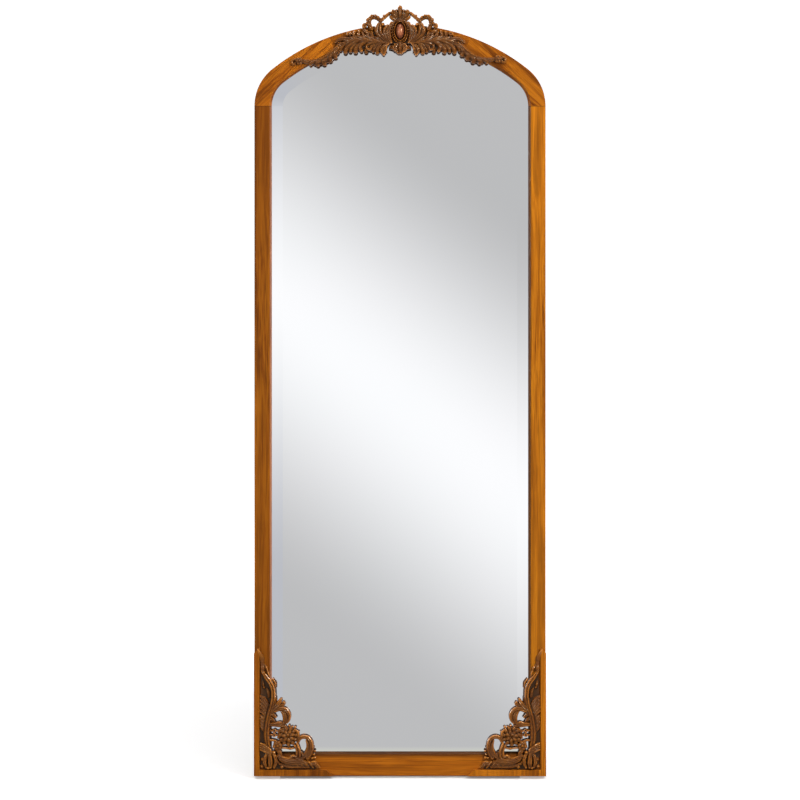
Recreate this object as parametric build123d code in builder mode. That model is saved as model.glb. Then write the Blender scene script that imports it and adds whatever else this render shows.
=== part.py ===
from build123d import *
import math
import os

os.makedirs("parts", exist_ok=True)

# ---- Driving dimensions: millimetres and degrees --------------------------------------------
# The mirror is drawn upright (X across, Y from front to back, Z along the stiles, bottom edge at
# Z = 0), then tipped back by LEAN about the bottom edge. The strut is drawn with its hinge axis
# on the X axis, hanging straight down, then swung out to its open position.
FRAME_WIDTH = 680.0
SPRING_HEIGHT = 1565.0  # where the head's curve leaves the stiles
HEAD_RISE = 190.0  # from there to the top of the arch
HAUNCH_RADIUS = 110.0
CREST_TOP = 1800.0
LEAN = 8.0

# Frame section
MEMBER_WIDTH = 40.0
RAIL_HEIGHT = 56.0
FRAME_DEPTH = 32.0
LIP_DEPTH = 12.0
GLASS_LEDGE = 10.0  # width of the rebate for the glass
PANEL_LEDGE = 10.0  # width of the wider rebate behind it, for the panel
SIGHT_SLOPE_WIDTH = 5.0
SIGHT_SLOPE_DEPTH = 9.0
EDGE_ROUNDING = 2.0
CROWN_JOINT_X = 165.0  # half the width of the crown segment, along its outer edge
FRONT = -FRAME_DEPTH / 2
BACK = FRAME_DEPTH / 2
LIP_BACK = FRONT + LIP_DEPTH

# Loose tenons in the frame's joints
TENON_WIDTH = 16.0
TENON_THICKNESS = 8.0
TENON_LENGTH = 50.0
TENON_INSET = 14.0  # from the frame's outer edge to the tenon's middle
TENON_Y = LIP_BACK - 2.0
GLUE_GAP = 0.1

# Glass and what is packed behind it
GLASS_THICKNESS = 5.0
GLASS_EDGE = 3.5  # thickness left at the ground edge
BEVEL_WIDTH = 34.0
GLASS_PLAY = 2.0
FELT_THICKNESS = 1.0
FELT_WIDTH = 7.0
FOAM_THICKNESS = 3.0
PANEL_THICKNESS = 6.0
PANEL_PLAY = 0.5
GLASS_INSET = MEMBER_WIDTH - GLASS_LEDGE + GLASS_PLAY
GLASS_RISE = RAIL_HEIGHT - GLASS_LEDGE + GLASS_PLAY
PANEL_INSET = MEMBER_WIDTH - GLASS_LEDGE - PANEL_LEDGE
PANEL_RISE = RAIL_HEIGHT - GLASS_LEDGE - PANEL_LEDGE
bevel_rise = GLASS_THICKNESS - GLASS_EDGE
bevel_at_lip = bevel_rise * (MEMBER_WIDTH - GLASS_INSET) / BEVEL_WIDTH
GLASS_EDGE_FRONT = LIP_BACK + FELT_THICKNESS + bevel_at_lip
GLASS_FRONT = GLASS_EDGE_FRONT - bevel_rise
GLASS_BACK = GLASS_EDGE_FRONT + GLASS_EDGE
FOAM_BACK = GLASS_BACK + FOAM_THICKNESS
PANEL_BACK = FOAM_BACK + PANEL_THICKNESS
BLOCK_LENGTH = 60.0
BLOCK_X = 200.0

# Corner borders and carvings
BORDER_WIDTH = 13.0
BORDER_FOOT = 15.0
BORDER_PROUD = 1.0
BORDER_THICKNESS = 8.0
BORDER_HEIGHT = 300.0
BORDER_REACH = 172.0
CARVING_DEPTH = 16.0
CREST_DEPTH = 18.0
CABOCHON_RISE = 4.0

# Hinge batten and hinges
BATTEN_HEIGHT = 90.0
BATTEN_THICKNESS = 18.0
BATTEN_LENGTH = 672.0
HINGE_HEIGHT = 1255.0  # of the hinge axis, along the stiles
HINGE_GAP = 8.0  # between batten and folded strut
HINGE_WIDTH = 28.0
LEAF_LENGTH = 38.0
LEAF_THICKNESS = 2.0
KNUCKLE_RADIUS = 3.8
KNUCKLE_GAP = 0.3
PIN_RADIUS = 1.5
PIN_CLEARANCE = 0.05
PIN_HEAD_RADIUS = 2.6
PIN_HEAD = 1.2
HINGE_Y = BACK + BATTEN_THICKNESS + HINGE_GAP / 2

# Strut
OPEN_ANGLE = 15.0  # between the folded and the open strut
LEG_X = 170.0
LEG_WIDTH = 32.0
LEG_DEPTH = 22.0
HEEL_HEIGHT = 42.0  # the leg's length above the hinge axis
HEEL_CLEARANCE = 0.15
RAIL_DEPTH = 18.0
TOP_RAIL_HEIGHT = 50.0
LOWER_RAIL_HEIGHT = 40.0
TOP_RAIL_Z = -85.0
MIDDLE_RAIL_Z = -640.0
FOOT_RAIL_Z = -1165.0
STRUT_TENON_WIDTH = 24.0
STRUT_TENON_LENGTH = 36.0
FOOT_THICKNESS = 5.0

# Rubber strip under the bottom rail
STRIP_LENGTH = 560.0
STRIP_WIDTH = 24.0
STRIP_MIN = 2.0  # clearance left under the frame's rear edge

# Screws: shank radius, head radius, length
PANEL_SCREW = (1.75, 3.5, 16.0)
BATTEN_SCREW = (2.0, 4.0, 40.0)
LEAF_SCREW = (1.6, 3.1, 15.0)
CREST_SCREW = (2.0, 4.0, 40.0)
CREST_SCREW_INSET = 15.0
LEAF_SCREW_X = 7.0
BATTEN_SCREW_X = 329.0
BATTEN_SCREW_ROW = 25.0
SCREW_CLEARANCE = 0.05
SCREW_RECESS = 1.0

# ---- Worked-out geometry ----------------------------------------------------------------------
half_width = FRAME_WIDTH / 2
haunch_x = half_width - HAUNCH_RADIUS
# The crown's arc is tangent to both haunches and passes through the top of the arch.
CROWN_RADIUS = (haunch_x**2 + HEAD_RISE**2 - HAUNCH_RADIUS**2) / (2 * (HEAD_RISE - HAUNCH_RADIUS))
crown_z = SPRING_HEIGHT + HEAD_RISE - CROWN_RADIUS
haunch_angle = math.degrees(math.atan2(SPRING_HEIGHT - crown_z, haunch_x))
crown_joint_angle = math.degrees(math.asin(CROWN_JOINT_X / CROWN_RADIUS))

lean_sin = math.sin(math.radians(LEAN))
lean_cos = math.cos(math.radians(LEAN))
lift = STRIP_MIN + BACK * lean_sin
tipped_back = Location((0, 0, lift), (-LEAN, 0, 0))

strut_tilt = OPEN_ANGLE - LEAN
hinge_row_y = HINGE_Y * lean_cos + HINGE_HEIGHT * lean_sin
hinge_row_z = HINGE_HEIGHT * lean_cos - HINGE_Y * lean_sin + lift
swung_out = Location((0, hinge_row_y, hinge_row_z), (strut_tilt, 0, 0))


def depth_plane(y):
    """Upright plane across the mirror at depth y: x runs right, y runs up, normal to the front."""
    return Plane.XZ.offset(-y)


def arch_face(inset, rise):
    """The frame's arched outline, moved inwards by inset, with its bottom edge at height rise."""
    half = half_width - inset
    haunch = HAUNCH_RADIUS - inset
    with BuildSketch() as sketch:
        with BuildLine():
            Polyline((-half, SPRING_HEIGHT), (-half, rise), (half, rise), (half, SPRING_HEIGHT))
            CenterArc((haunch_x, SPRING_HEIGHT), haunch, 0, haunch_angle)
            CenterArc((0, crown_z), CROWN_RADIUS - inset, haunch_angle, 180 - 2 * haunch_angle)
            CenterArc((-haunch_x, SPRING_HEIGHT), haunch, 180 - haunch_angle, haunch_angle)
        make_face()
    return sketch.sketch


def crown_point(radius, angle):
    """Point on the mirror's front at a radius from the crown's centre, angle from upright."""
    across = radius * math.sin(math.radians(angle))
    up = crown_z + radius * math.cos(math.radians(angle))
    return (across, up)


def screw(sizes, clearance=0.0):
    """Countersunk screw with its head's top at the origin, pointing down. With a clearance it is
    the hole that the screw needs."""
    shank, head, length = sizes
    shank = shank + clearance
    head = head + clearance
    cone = head - shank
    with BuildPart() as body:
        with BuildSketch(Plane.XZ):
            with BuildLine():
                Polyline(
                    (0, 0), (head, 0), (shank, -cone), (shank, -length + shank),
                    (0, -length), (0, 0),
                )
            make_face()
        revolve(axis=Axis.Z)
        if clearance == 0:
            with BuildSketch(Plane.XY.offset(-SCREW_RECESS)):
                Rectangle(1.2 * head, 0.3 * head)
                Rectangle(0.3 * head, 1.2 * head)
            extrude(amount=SCREW_RECESS, mode=Mode.SUBTRACT)
    return body.part


def screws(sizes, places, clearance=0.0):
    """One screw, or one screw hole, at each place."""
    one = screw(sizes, clearance)
    with BuildPart() as group:
        with Locations(*places):
            add(one)
    return group.part


def finish(piece, name, placement):
    """Stand a drawn piece where it belongs, label it and write it."""
    placed = placement * piece
    placed.label = name
    export_step(placed, f"parts/{name}.step")


# ---- Places of joints and screws ---------------------------------------------------------------
tenon_planes = []
for side in (-1, 1):
    stile_tenon = (side * (half_width - TENON_INSET), TENON_Y, SPRING_HEIGHT)
    tenon_planes.append(Plane(origin=stile_tenon, x_dir=(1, 0, 0), z_dir=(0, 0, 1)))
    rail_tenon = (side * (half_width - MEMBER_WIDTH), TENON_Y, TENON_INSET)
    tenon_planes.append(Plane(origin=rail_tenon, x_dir=(0, 0, 1), z_dir=(1, 0, 0)))
    across, up = crown_point(CROWN_RADIUS - TENON_INSET, side * crown_joint_angle)
    outwards = (across, 0, up - crown_z)
    along = (up - crown_z, 0, -across)
    tenon_planes.append(Plane(origin=(across, TENON_Y, up), x_dir=outwards, z_dir=along))

panel_screw_inset = MEMBER_WIDTH - GLASS_LEDGE - PANEL_LEDGE / 2
panel_screw_points = []
for side in (-1, 1):
    for step in range(6):
        panel_screw_points.append((side * (half_width - panel_screw_inset), 110 + 270 * step))
    panel_screw_points.append((side * 150, RAIL_HEIGHT - GLASS_LEDGE - PANEL_LEDGE / 2))
    panel_screw_points.append(crown_point(CROWN_RADIUS - panel_screw_inset, side * 10))
panel_screw_places = [
    Plane(origin=(x, PANEL_BACK, z), z_dir=(0, 1, 0)).location for x, z in panel_screw_points
]

batten_back = BACK + BATTEN_THICKNESS
batten_screw_places = [
    Plane(origin=(side * BATTEN_SCREW_X, batten_back, HINGE_HEIGHT + row), z_dir=(0, 1, 0)).location
    for side in (-1, 1)
    for row in (-BATTEN_SCREW_ROW, BATTEN_SCREW_ROW)
]
crest_screw_points = [crown_point(CROWN_RADIUS - CREST_SCREW_INSET, angle) for angle in (-9, 9)]
crest_screw_places = [
    Plane(origin=(x, BACK, z), z_dir=(0, 1, 0)).location for x, z in crest_screw_points
]

# A leaf has two screws, one above the other and set to either side of its middle.
leaf_screw_offsets = ((-LEAF_SCREW_X, -13), (LEAF_SCREW_X, -28))
leg_front = HINGE_GAP / 2
batten_leaf_screw_places = []
strut_leaf_screw_places = []
for leaf_x in (-LEG_X, LEG_X):
    for x, z in leaf_screw_offsets:
        on_batten = (leaf_x + x, batten_back + LEAF_THICKNESS, HINGE_HEIGHT + z)
        batten_leaf_screw_places.append(Plane(origin=on_batten, z_dir=(0, 1, 0)).location)
        on_leg = (leaf_x - x, leg_front - LEAF_THICKNESS, z)
        strut_leaf_screw_places.append(Plane(origin=on_leg, z_dir=(0, -1, 0)).location)

# ---- Wooden frame --------------------------------------------------------------------------------
# One arched blank holds the section of every member, so that the members meet exactly.
with BuildPart() as frame_blank:
    with BuildSketch(depth_plane(BACK)):
        add(arch_face(0, 0))
        add(arch_face(MEMBER_WIDTH, RAIL_HEIGHT), mode=Mode.SUBTRACT)
    extrude(amount=FRAME_DEPTH)
    outer_edges = frame_blank.faces().sort_by(Axis.Y)[0].outer_wire().edges()
    fillet(outer_edges, EDGE_ROUNDING)
    # Rebate for the glass, and the wider one for the panel
    with BuildSketch(depth_plane(BACK)):
        add(arch_face(MEMBER_WIDTH - GLASS_LEDGE, RAIL_HEIGHT - GLASS_LEDGE))
    extrude(amount=BACK - LIP_BACK, mode=Mode.SUBTRACT)
    with BuildSketch(depth_plane(BACK)):
        add(arch_face(PANEL_INSET, PANEL_RISE))
    extrude(amount=BACK - FOAM_BACK, mode=Mode.SUBTRACT)
    # Sloping sight edge in front of the glass
    with BuildSketch(depth_plane(FRONT)):
        add(arch_face(MEMBER_WIDTH - SIGHT_SLOPE_WIDTH, RAIL_HEIGHT - SIGHT_SLOPE_WIDTH))
    with BuildSketch(depth_plane(FRONT + SIGHT_SLOPE_DEPTH)):
        add(arch_face(MEMBER_WIDTH, RAIL_HEIGHT))
    loft(ruled=True, mode=Mode.SUBTRACT)
    # Mortises
    for joint in tenon_planes:
        with BuildSketch(joint):
            SlotOverall(TENON_WIDTH + 2 * GLUE_GAP, TENON_THICKNESS + 2 * GLUE_GAP)
        extrude(amount=TENON_LENGTH / 2 + GLUE_GAP, both=True, mode=Mode.SUBTRACT)
    # Screw holes
    add(screws(PANEL_SCREW, panel_screw_places, SCREW_CLEARANCE), mode=Mode.SUBTRACT)
    add(screws(BATTEN_SCREW, batten_screw_places, SCREW_CLEARANCE), mode=Mode.SUBTRACT)
    add(screws(CREST_SCREW, crest_screw_places, SCREW_CLEARANCE), mode=Mode.SUBTRACT)


def crown_wedge():
    """Triangle from the crown's centre that holds the crown segment."""
    with BuildSketch() as wedge:
        with BuildLine():
            Polyline(
                (0, crown_z),
                crown_point(2 * CROWN_RADIUS, -crown_joint_angle),
                crown_point(2 * CROWN_RADIUS, crown_joint_angle),
                (0, crown_z),
            )
        make_face()
    return wedge.sketch


for side, hand in ((-1, "left"), (1, "right")):
    with BuildPart() as stile:
        add(frame_blank.part)
        with BuildSketch(depth_plane(BACK)):
            with Locations((side * (half_width - MEMBER_WIDTH / 2), SPRING_HEIGHT / 2)):
                Rectangle(MEMBER_WIDTH, SPRING_HEIGHT)
        extrude(amount=FRAME_DEPTH, mode=Mode.INTERSECT)
    finish(stile.part, f"{hand}_stile", tipped_back)

    with BuildPart() as haunch:
        add(frame_blank.part)
        with BuildSketch(depth_plane(BACK)):
            with Locations((side * half_width / 2, SPRING_HEIGHT + HEAD_RISE / 2)):
                Rectangle(half_width, HEAD_RISE)
        extrude(amount=FRAME_DEPTH, mode=Mode.INTERSECT)
        with BuildSketch(depth_plane(BACK)):
            add(crown_wedge())
        extrude(amount=FRAME_DEPTH, mode=Mode.SUBTRACT)
    finish(haunch.part, f"{hand}_haunch", tipped_back)

with BuildPart() as crown_segment:
    add(frame_blank.part)
    with BuildSketch(depth_plane(BACK)):
        add(crown_wedge())
    extrude(amount=FRAME_DEPTH, mode=Mode.INTERSECT)
finish(crown_segment.part, "crown_segment", tipped_back)

with BuildPart() as bottom_rail:
    add(frame_blank.part)
    with BuildSketch(depth_plane(BACK)):
        with Locations((0, RAIL_HEIGHT / 2)):
            Rectangle(FRAME_WIDTH - 2 * MEMBER_WIDTH, RAIL_HEIGHT)
    extrude(amount=FRAME_DEPTH, mode=Mode.INTERSECT)
finish(bottom_rail.part, "bottom_rail", tipped_back)

with BuildPart() as joint_tenons:
    for joint in tenon_planes:
        with BuildSketch(joint):
            SlotOverall(TENON_WIDTH, TENON_THICKNESS)
        extrude(amount=TENON_LENGTH / 2, both=True)
finish(joint_tenons.part, "joint_tenons", tipped_back)

# ---- Glass and packing, from the front to the back -----------------------------------------------
with BuildPart() as mirror_glass:
    with BuildSketch(depth_plane(GLASS_BACK)):
        add(arch_face(GLASS_INSET, GLASS_RISE))
    extrude(amount=GLASS_EDGE)
    with BuildSketch(depth_plane(GLASS_EDGE_FRONT)):
        add(arch_face(GLASS_INSET, GLASS_RISE))
    with BuildSketch(depth_plane(GLASS_FRONT)):
        add(arch_face(GLASS_INSET + BEVEL_WIDTH, GLASS_RISE + BEVEL_WIDTH))
    loft(ruled=True)
finish(mirror_glass.part, "mirror_glass", tipped_back)

with BuildPart() as glazing_felt:
    with BuildSketch(depth_plane(GLASS_EDGE_FRONT)):
        add(arch_face(MEMBER_WIDTH - FELT_WIDTH, RAIL_HEIGHT - FELT_WIDTH))
        add(arch_face(MEMBER_WIDTH, RAIL_HEIGHT), mode=Mode.SUBTRACT)
    extrude(amount=GLASS_EDGE_FRONT - LIP_BACK)
    add(mirror_glass.part, mode=Mode.SUBTRACT)
finish(glazing_felt.part, "glazing_felt", tipped_back)

with BuildPart() as setting_blocks:
    with BuildSketch(depth_plane(GLASS_BACK)):
        with Locations((-BLOCK_X, GLASS_RISE - GLASS_PLAY / 2), (BLOCK_X, GLASS_RISE - GLASS_PLAY / 2)):
            Rectangle(BLOCK_LENGTH, GLASS_PLAY)
    extrude(amount=GLASS_EDGE)
finish(setting_blocks.part, "setting_blocks", tipped_back)

with BuildPart() as backing_foam:
    with BuildSketch(depth_plane(FOAM_BACK)):
        add(arch_face(GLASS_INSET, GLASS_RISE))
    extrude(amount=FOAM_THICKNESS)
finish(backing_foam.part, "backing_foam", tipped_back)

with BuildPart() as back_panel:
    with BuildSketch(depth_plane(PANEL_BACK)):
        add(arch_face(PANEL_INSET + PANEL_PLAY, PANEL_RISE + PANEL_PLAY))
    extrude(amount=PANEL_THICKNESS)
    add(screws(PANEL_SCREW, panel_screw_places, SCREW_CLEARANCE), mode=Mode.SUBTRACT)
finish(back_panel.part, "back_panel", tipped_back)
finish(screws(PANEL_SCREW, panel_screw_places), "back_panel_screws", tipped_back)

# ---- Corner borders and carvings -------------------------------------------------------------------
for side, hand in ((-1, "left"), (1, "right")):
    outer = side * (half_width + BORDER_PROUD)
    inner = outer - side * BORDER_WIDTH
    reach = side * BORDER_REACH
    with BuildPart() as corner_border:
        with BuildSketch(depth_plane(FRONT)):
            with BuildLine():
                Polyline(
                    (outer, 0),
                    (outer, BORDER_HEIGHT - BORDER_WIDTH),
                    (inner, BORDER_HEIGHT),
                    (inner, BORDER_FOOT),
                    (reach, BORDER_FOOT),
                    (reach - side * BORDER_FOOT, 0),
                    (outer, 0),
                )
            make_face()
        extrude(amount=BORDER_THICKNESS)
        front_face = corner_border.faces().sort_by(Axis.Y)[0]
        chamfer(front_face.edges(), 1.0)
    finish(corner_border.part, f"{hand}_corner_border", tipped_back)

    # Pierced foliage: a stem up the stile, two loops, a rosette and a stem along the rail
    with BuildPart() as corner_carving:
        with BuildSketch(depth_plane(FRONT)):
            with BuildLine():
                Polyline(
                    (side * 326, 20), (side * 326, 288), (side * 316, 288), (side * 290, 215),
                    (side * 284, 150), (side * 252, 78), (side * 212, 44), (side * 178, 20),
                    (side * 326, 20),
                )
            make_face()
            with Locations((side * 272, 134)):
                Circle(22)
            with Locations((side * 256, 96)):
                Circle(26)
            with Locations((side * 222, 68)):
                Circle(23)
            with Locations((side * 278, 174)):
                Ellipse(10, 16)
            with Locations((side * 281, 134)):
                Circle(9, mode=Mode.SUBTRACT)
            with Locations((side * 288, 96)):
                Ellipse(4, 12, mode=Mode.SUBTRACT)
            with Locations((side * 224, 70)):
                Circle(9, mode=Mode.SUBTRACT)
        extrude(amount=CARVING_DEPTH)
        add(corner_border.part, mode=Mode.SUBTRACT)
    finish(corner_carving.part, f"{hand}_corner_carving", tipped_back)

# ---- Crest -----------------------------------------------------------------------------------------
with BuildPart() as crest_carving:
    with BuildSketch(depth_plane(FRONT)):
        # Leaf body along the arch
        with BuildLine():
            crest_arc = CenterArc((0, crown_z), CROWN_RADIUS - 8, 72, 36)
            Polyline(crest_arc @ 0, (150, 1684), (0, 1690), (-150, 1684), crest_arc @ 1)
        make_face()
        # Finial, palmette and cartouche
        with Locations((0, CREST_TOP - 10)):
            Circle(10)
        with Locations((0, 1772)):
            Circle(21)
        with Locations((0, 1738)):
            Ellipse(44, 42)
        # C-scrolls and volutes to either side
        with Locations((-60, 1756), (60, 1756)):
            Circle(25)
        with Locations((-82, 1745), (82, 1745)):
            Circle(14)
        with Locations((-118, 1732), (118, 1732)):
            Circle(10)
        with Locations((-58, 1757), (58, 1757)):
            Circle(9, mode=Mode.SUBTRACT)
        with Locations((-29, 1758), (29, 1758)):
            Circle(5, mode=Mode.SUBTRACT)
    extrude(amount=CREST_DEPTH)
    with BuildSketch(depth_plane(FRONT - CREST_DEPTH)):
        with Locations((0, 1740)):
            Ellipse(11, 19)
    extrude(amount=CABOCHON_RISE)
    fillet(crest_carving.faces().sort_by(Axis.Y)[0].edges(), CABOCHON_RISE - 1)
    add(screws(CREST_SCREW, crest_screw_places, SCREW_CLEARANCE), mode=Mode.SUBTRACT)
finish(crest_carving.part, "crest_carving", tipped_back)
finish(screws(CREST_SCREW, crest_screw_places), "crest_screws", tipped_back)

for side, hand in ((-1, "left"), (1, "right")):
    with BuildPart() as crest_sprig:
        with BuildSketch(depth_plane(FRONT)):
            with Locations((side * 195, 1668)):
                SlotCenterToCenter(80, 20, rotation=-side * 14)
            with Locations((side * 240, 1667)):
                Circle(15)
        extrude(amount=CARVING_DEPTH)
        add(crest_carving.part, mode=Mode.SUBTRACT)
    finish(crest_sprig.part, f"{hand}_crest_sprig", tipped_back)

# ---- Rubber strip under the bottom edge ------------------------------------------------------------
with BuildPart() as base_strip:
    with BuildSketch(Plane.XY):
        Rectangle(STRIP_LENGTH, STRIP_WIDTH)
    extrude(amount=-2 * lift)
    # The floor, seen from the tipped mirror, cuts the strip level.
    floor_normal = (0, -lean_sin, lean_cos)
    floor_point = (0, lift * lean_sin, -lift * lean_cos)
    split(bisect_by=Plane(origin=floor_point, z_dir=floor_normal), keep=Keep.TOP)
finish(base_strip.part, "base_strip", tipped_back)

# ---- Hinge batten ----------------------------------------------------------------------------------
with BuildPart() as hinge_batten:
    with BuildSketch(depth_plane(batten_back)):
        with Locations((0, HINGE_HEIGHT)):
            Rectangle(BATTEN_LENGTH, BATTEN_HEIGHT)
    extrude(amount=BATTEN_THICKNESS)
    chamfer(hinge_batten.faces().sort_by(Axis.Y)[-1].edges(), 2)
    add(screws(BATTEN_SCREW, batten_screw_places, SCREW_CLEARANCE), mode=Mode.SUBTRACT)
    add(screws(LEAF_SCREW, batten_leaf_screw_places, SCREW_CLEARANCE), mode=Mode.SUBTRACT)
finish(hinge_batten.part, "hinge_batten", tipped_back)
finish(screws(BATTEN_SCREW, batten_screw_places), "batten_screws", tipped_back)

# ---- Butt hinges -------------------------------------------------------------------------------------
knuckle_width = HINGE_WIDTH / 3


def hinge_leaf(knuckle_centres):
    """Leaf in front of the hinge axis (towards -Y), hanging down from it, with the knuckles at
    the given places along the axis and room for the other leaf's knuckles between them."""
    with BuildPart() as leaf:
        with BuildSketch(Plane.XZ.offset(HINGE_GAP / 2 - LEAF_THICKNESS)):
            with Locations((0, -LEAF_LENGTH / 2 - KNUCKLE_RADIUS / 2)):
                RectangleRounded(HINGE_WIDTH, LEAF_LENGTH - KNUCKLE_RADIUS, 3)
        extrude(amount=LEAF_THICKNESS)
        for centre in knuckle_centres:
            with BuildSketch(Plane.YZ.offset(centre)):
                Circle(KNUCKLE_RADIUS)
                with Locations((-HINGE_GAP / 2 + LEAF_THICKNESS / 2, -KNUCKLE_RADIUS - 2)):
                    Rectangle(LEAF_THICKNESS, 2 * KNUCKLE_RADIUS + 4)
            extrude(amount=knuckle_width / 2 - KNUCKLE_GAP / 2, both=True)
        with BuildSketch(Plane.YZ):
            Circle(PIN_RADIUS + PIN_CLEARANCE)
        extrude(amount=HINGE_WIDTH, both=True, mode=Mode.SUBTRACT)
    return leaf.part


batten_leaf = hinge_leaf((-knuckle_width, knuckle_width))
# The strut's leaf faces the other way: the same leaf turned about the vertical, one knuckle.
strut_leaf = Rot(0, 0, 180) * hinge_leaf((0,))

with BuildPart() as hinge_pin:
    with BuildSketch(Plane.YZ):
        Circle(PIN_RADIUS)
    extrude(amount=HINGE_WIDTH / 2, both=True)
    for side in (-1, 1):
        with BuildSketch(Plane.YZ.offset(side * HINGE_WIDTH / 2)):
            Circle(PIN_HEAD_RADIUS)
        extrude(amount=side * PIN_HEAD)
    fillet(hinge_pin.edges().filter_by(GeomType.CIRCLE).group_by(Axis.X)[-1], PIN_HEAD / 2)
    fillet(hinge_pin.edges().filter_by(GeomType.CIRCLE).group_by(Axis.X)[0], PIN_HEAD / 2)

for side, hand in ((-1, "left"), (1, "right")):
    on_batten = Pos(side * LEG_X, HINGE_Y, HINGE_HEIGHT)
    with BuildPart() as batten_side_leaf:
        add(on_batten * batten_leaf)
        add(screws(LEAF_SCREW, batten_leaf_screw_places, SCREW_CLEARANCE), mode=Mode.SUBTRACT)
    finish(batten_side_leaf.part, f"{hand}_hinge_batten_leaf", tipped_back)
    finish(on_batten * hinge_pin.part, f"{hand}_hinge_pin", tipped_back)
    with BuildPart() as strut_side_leaf:
        add(Pos(side * LEG_X, 0, 0) * strut_leaf)
        add(screws(LEAF_SCREW, strut_leaf_screw_places, SCREW_CLEARANCE), mode=Mode.SUBTRACT)
    finish(strut_side_leaf.part, f"{hand}_hinge_strut_leaf", swung_out)
finish(screws(LEAF_SCREW, batten_leaf_screw_places), "batten_leaf_screws", tipped_back)
finish(screws(LEAF_SCREW, strut_leaf_screw_places), "strut_leaf_screws", swung_out)

# ---- Strut ---------------------------------------------------------------------------------------------
tilt_sin = math.sin(math.radians(strut_tilt))
tilt_cos = math.cos(math.radians(strut_tilt))
open_sin = math.sin(math.radians(OPEN_ANGLE))
open_cos = math.cos(math.radians(OPEN_ANGLE))
leg_middle_y = leg_front + LEG_DEPTH / 2


def strut_floor(height):
    """Level plane at a height above the floor, in the strut's own frame, facing up."""
    drop = hinge_row_z - height
    return Plane(origin=(0, -drop * tilt_sin, -drop * tilt_cos), z_dir=(0, tilt_sin, tilt_cos))


# The batten's back face, in the strut's own frame, facing the back. The heels rest on it.
heel_reach = -HINGE_GAP / 2 + HEEL_CLEARANCE
heel_plane = Plane(
    origin=(0, heel_reach * open_cos, -heel_reach * open_sin), z_dir=(0, open_cos, -open_sin)
)

rail_places = (
    ("top", TOP_RAIL_Z, TOP_RAIL_HEIGHT),
    ("middle", MIDDLE_RAIL_Z, LOWER_RAIL_HEIGHT),
    ("foot", FOOT_RAIL_Z, LOWER_RAIL_HEIGHT),
)
leg_inner_x = LEG_X - LEG_WIDTH / 2
strut_tenon_planes = [
    Plane(origin=(side * leg_inner_x, leg_middle_y, z), x_dir=(0, 0, 1), z_dir=(1, 0, 0))
    for side in (-1, 1)
    for _, z, _ in rail_places
]

leg_length = HEEL_HEIGHT + hinge_row_z * 1.05
for side, hand in ((-1, "left"), (1, "right")):
    with BuildPart() as strut_leg:
        with BuildSketch(Plane.XY.offset(HEEL_HEIGHT)):
            with Locations((side * LEG_X, leg_middle_y)):
                Rectangle(LEG_WIDTH, LEG_DEPTH)
        extrude(amount=-leg_length)
        chamfer(strut_leg.edges().filter_by(Axis.Z), 1.5)
        split(bisect_by=strut_floor(FOOT_THICKNESS), keep=Keep.TOP)
        split(bisect_by=heel_plane, keep=Keep.TOP)
        for joint in strut_tenon_planes:
            with BuildSketch(joint):
                SlotOverall(STRUT_TENON_WIDTH + 2 * GLUE_GAP, TENON_THICKNESS + 2 * GLUE_GAP)
            extrude(amount=STRUT_TENON_LENGTH / 2 + GLUE_GAP, both=True, mode=Mode.SUBTRACT)
        add(screws(LEAF_SCREW, strut_leaf_screw_places, SCREW_CLEARANCE), mode=Mode.SUBTRACT)
    finish(strut_leg.part, f"{hand}_strut_leg", swung_out)

    with BuildPart() as strut_foot:
        with BuildSketch(Plane.XY.offset(HEEL_HEIGHT)):
            with Locations((side * LEG_X, leg_middle_y)):
                RectangleRounded(LEG_WIDTH - 2, LEG_DEPTH - 2, 3)
        extrude(amount=-leg_length)
        split(bisect_by=strut_floor(0), keep=Keep.TOP)
        split(bisect_by=strut_floor(FOOT_THICKNESS), keep=Keep.BOTTOM)
    finish(strut_foot.part, f"{hand}_strut_foot", swung_out)

for name, rail_z, rail_height in rail_places:
    with BuildPart() as strut_rail:
        with BuildSketch(Plane.XY.offset(rail_z - rail_height / 2)):
            with Locations((0, leg_middle_y)):
                Rectangle(2 * leg_inner_x, RAIL_DEPTH)
        extrude(amount=rail_height)
        chamfer(strut_rail.edges().filter_by(Axis.X), 1.5)
        for joint in strut_tenon_planes:
            with BuildSketch(joint):
                SlotOverall(STRUT_TENON_WIDTH + 2 * GLUE_GAP, TENON_THICKNESS + 2 * GLUE_GAP)
            extrude(amount=STRUT_TENON_LENGTH / 2 + GLUE_GAP, both=True, mode=Mode.SUBTRACT)
    finish(strut_rail.part, f"strut_{name}_rail", swung_out)

with BuildPart() as strut_tenons:
    for joint in strut_tenon_planes:
        with BuildSketch(joint):
            SlotOverall(STRUT_TENON_WIDTH, TENON_THICKNESS)
        extrude(amount=STRUT_TENON_LENGTH / 2, both=True)
finish(strut_tenons.part, "strut_tenons", swung_out)

print("hinge axis at y", round(hinge_row_y, 3), "z", round(hinge_row_z, 3))
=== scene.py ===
"""Arched floor mirror with a carved crest and corners, on a rear easel strut.

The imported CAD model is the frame. This script carves the ornaments, gives every piece its
material, and sets up a plain studio with the camera square to the leaning glass.
"""
import math

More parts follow.
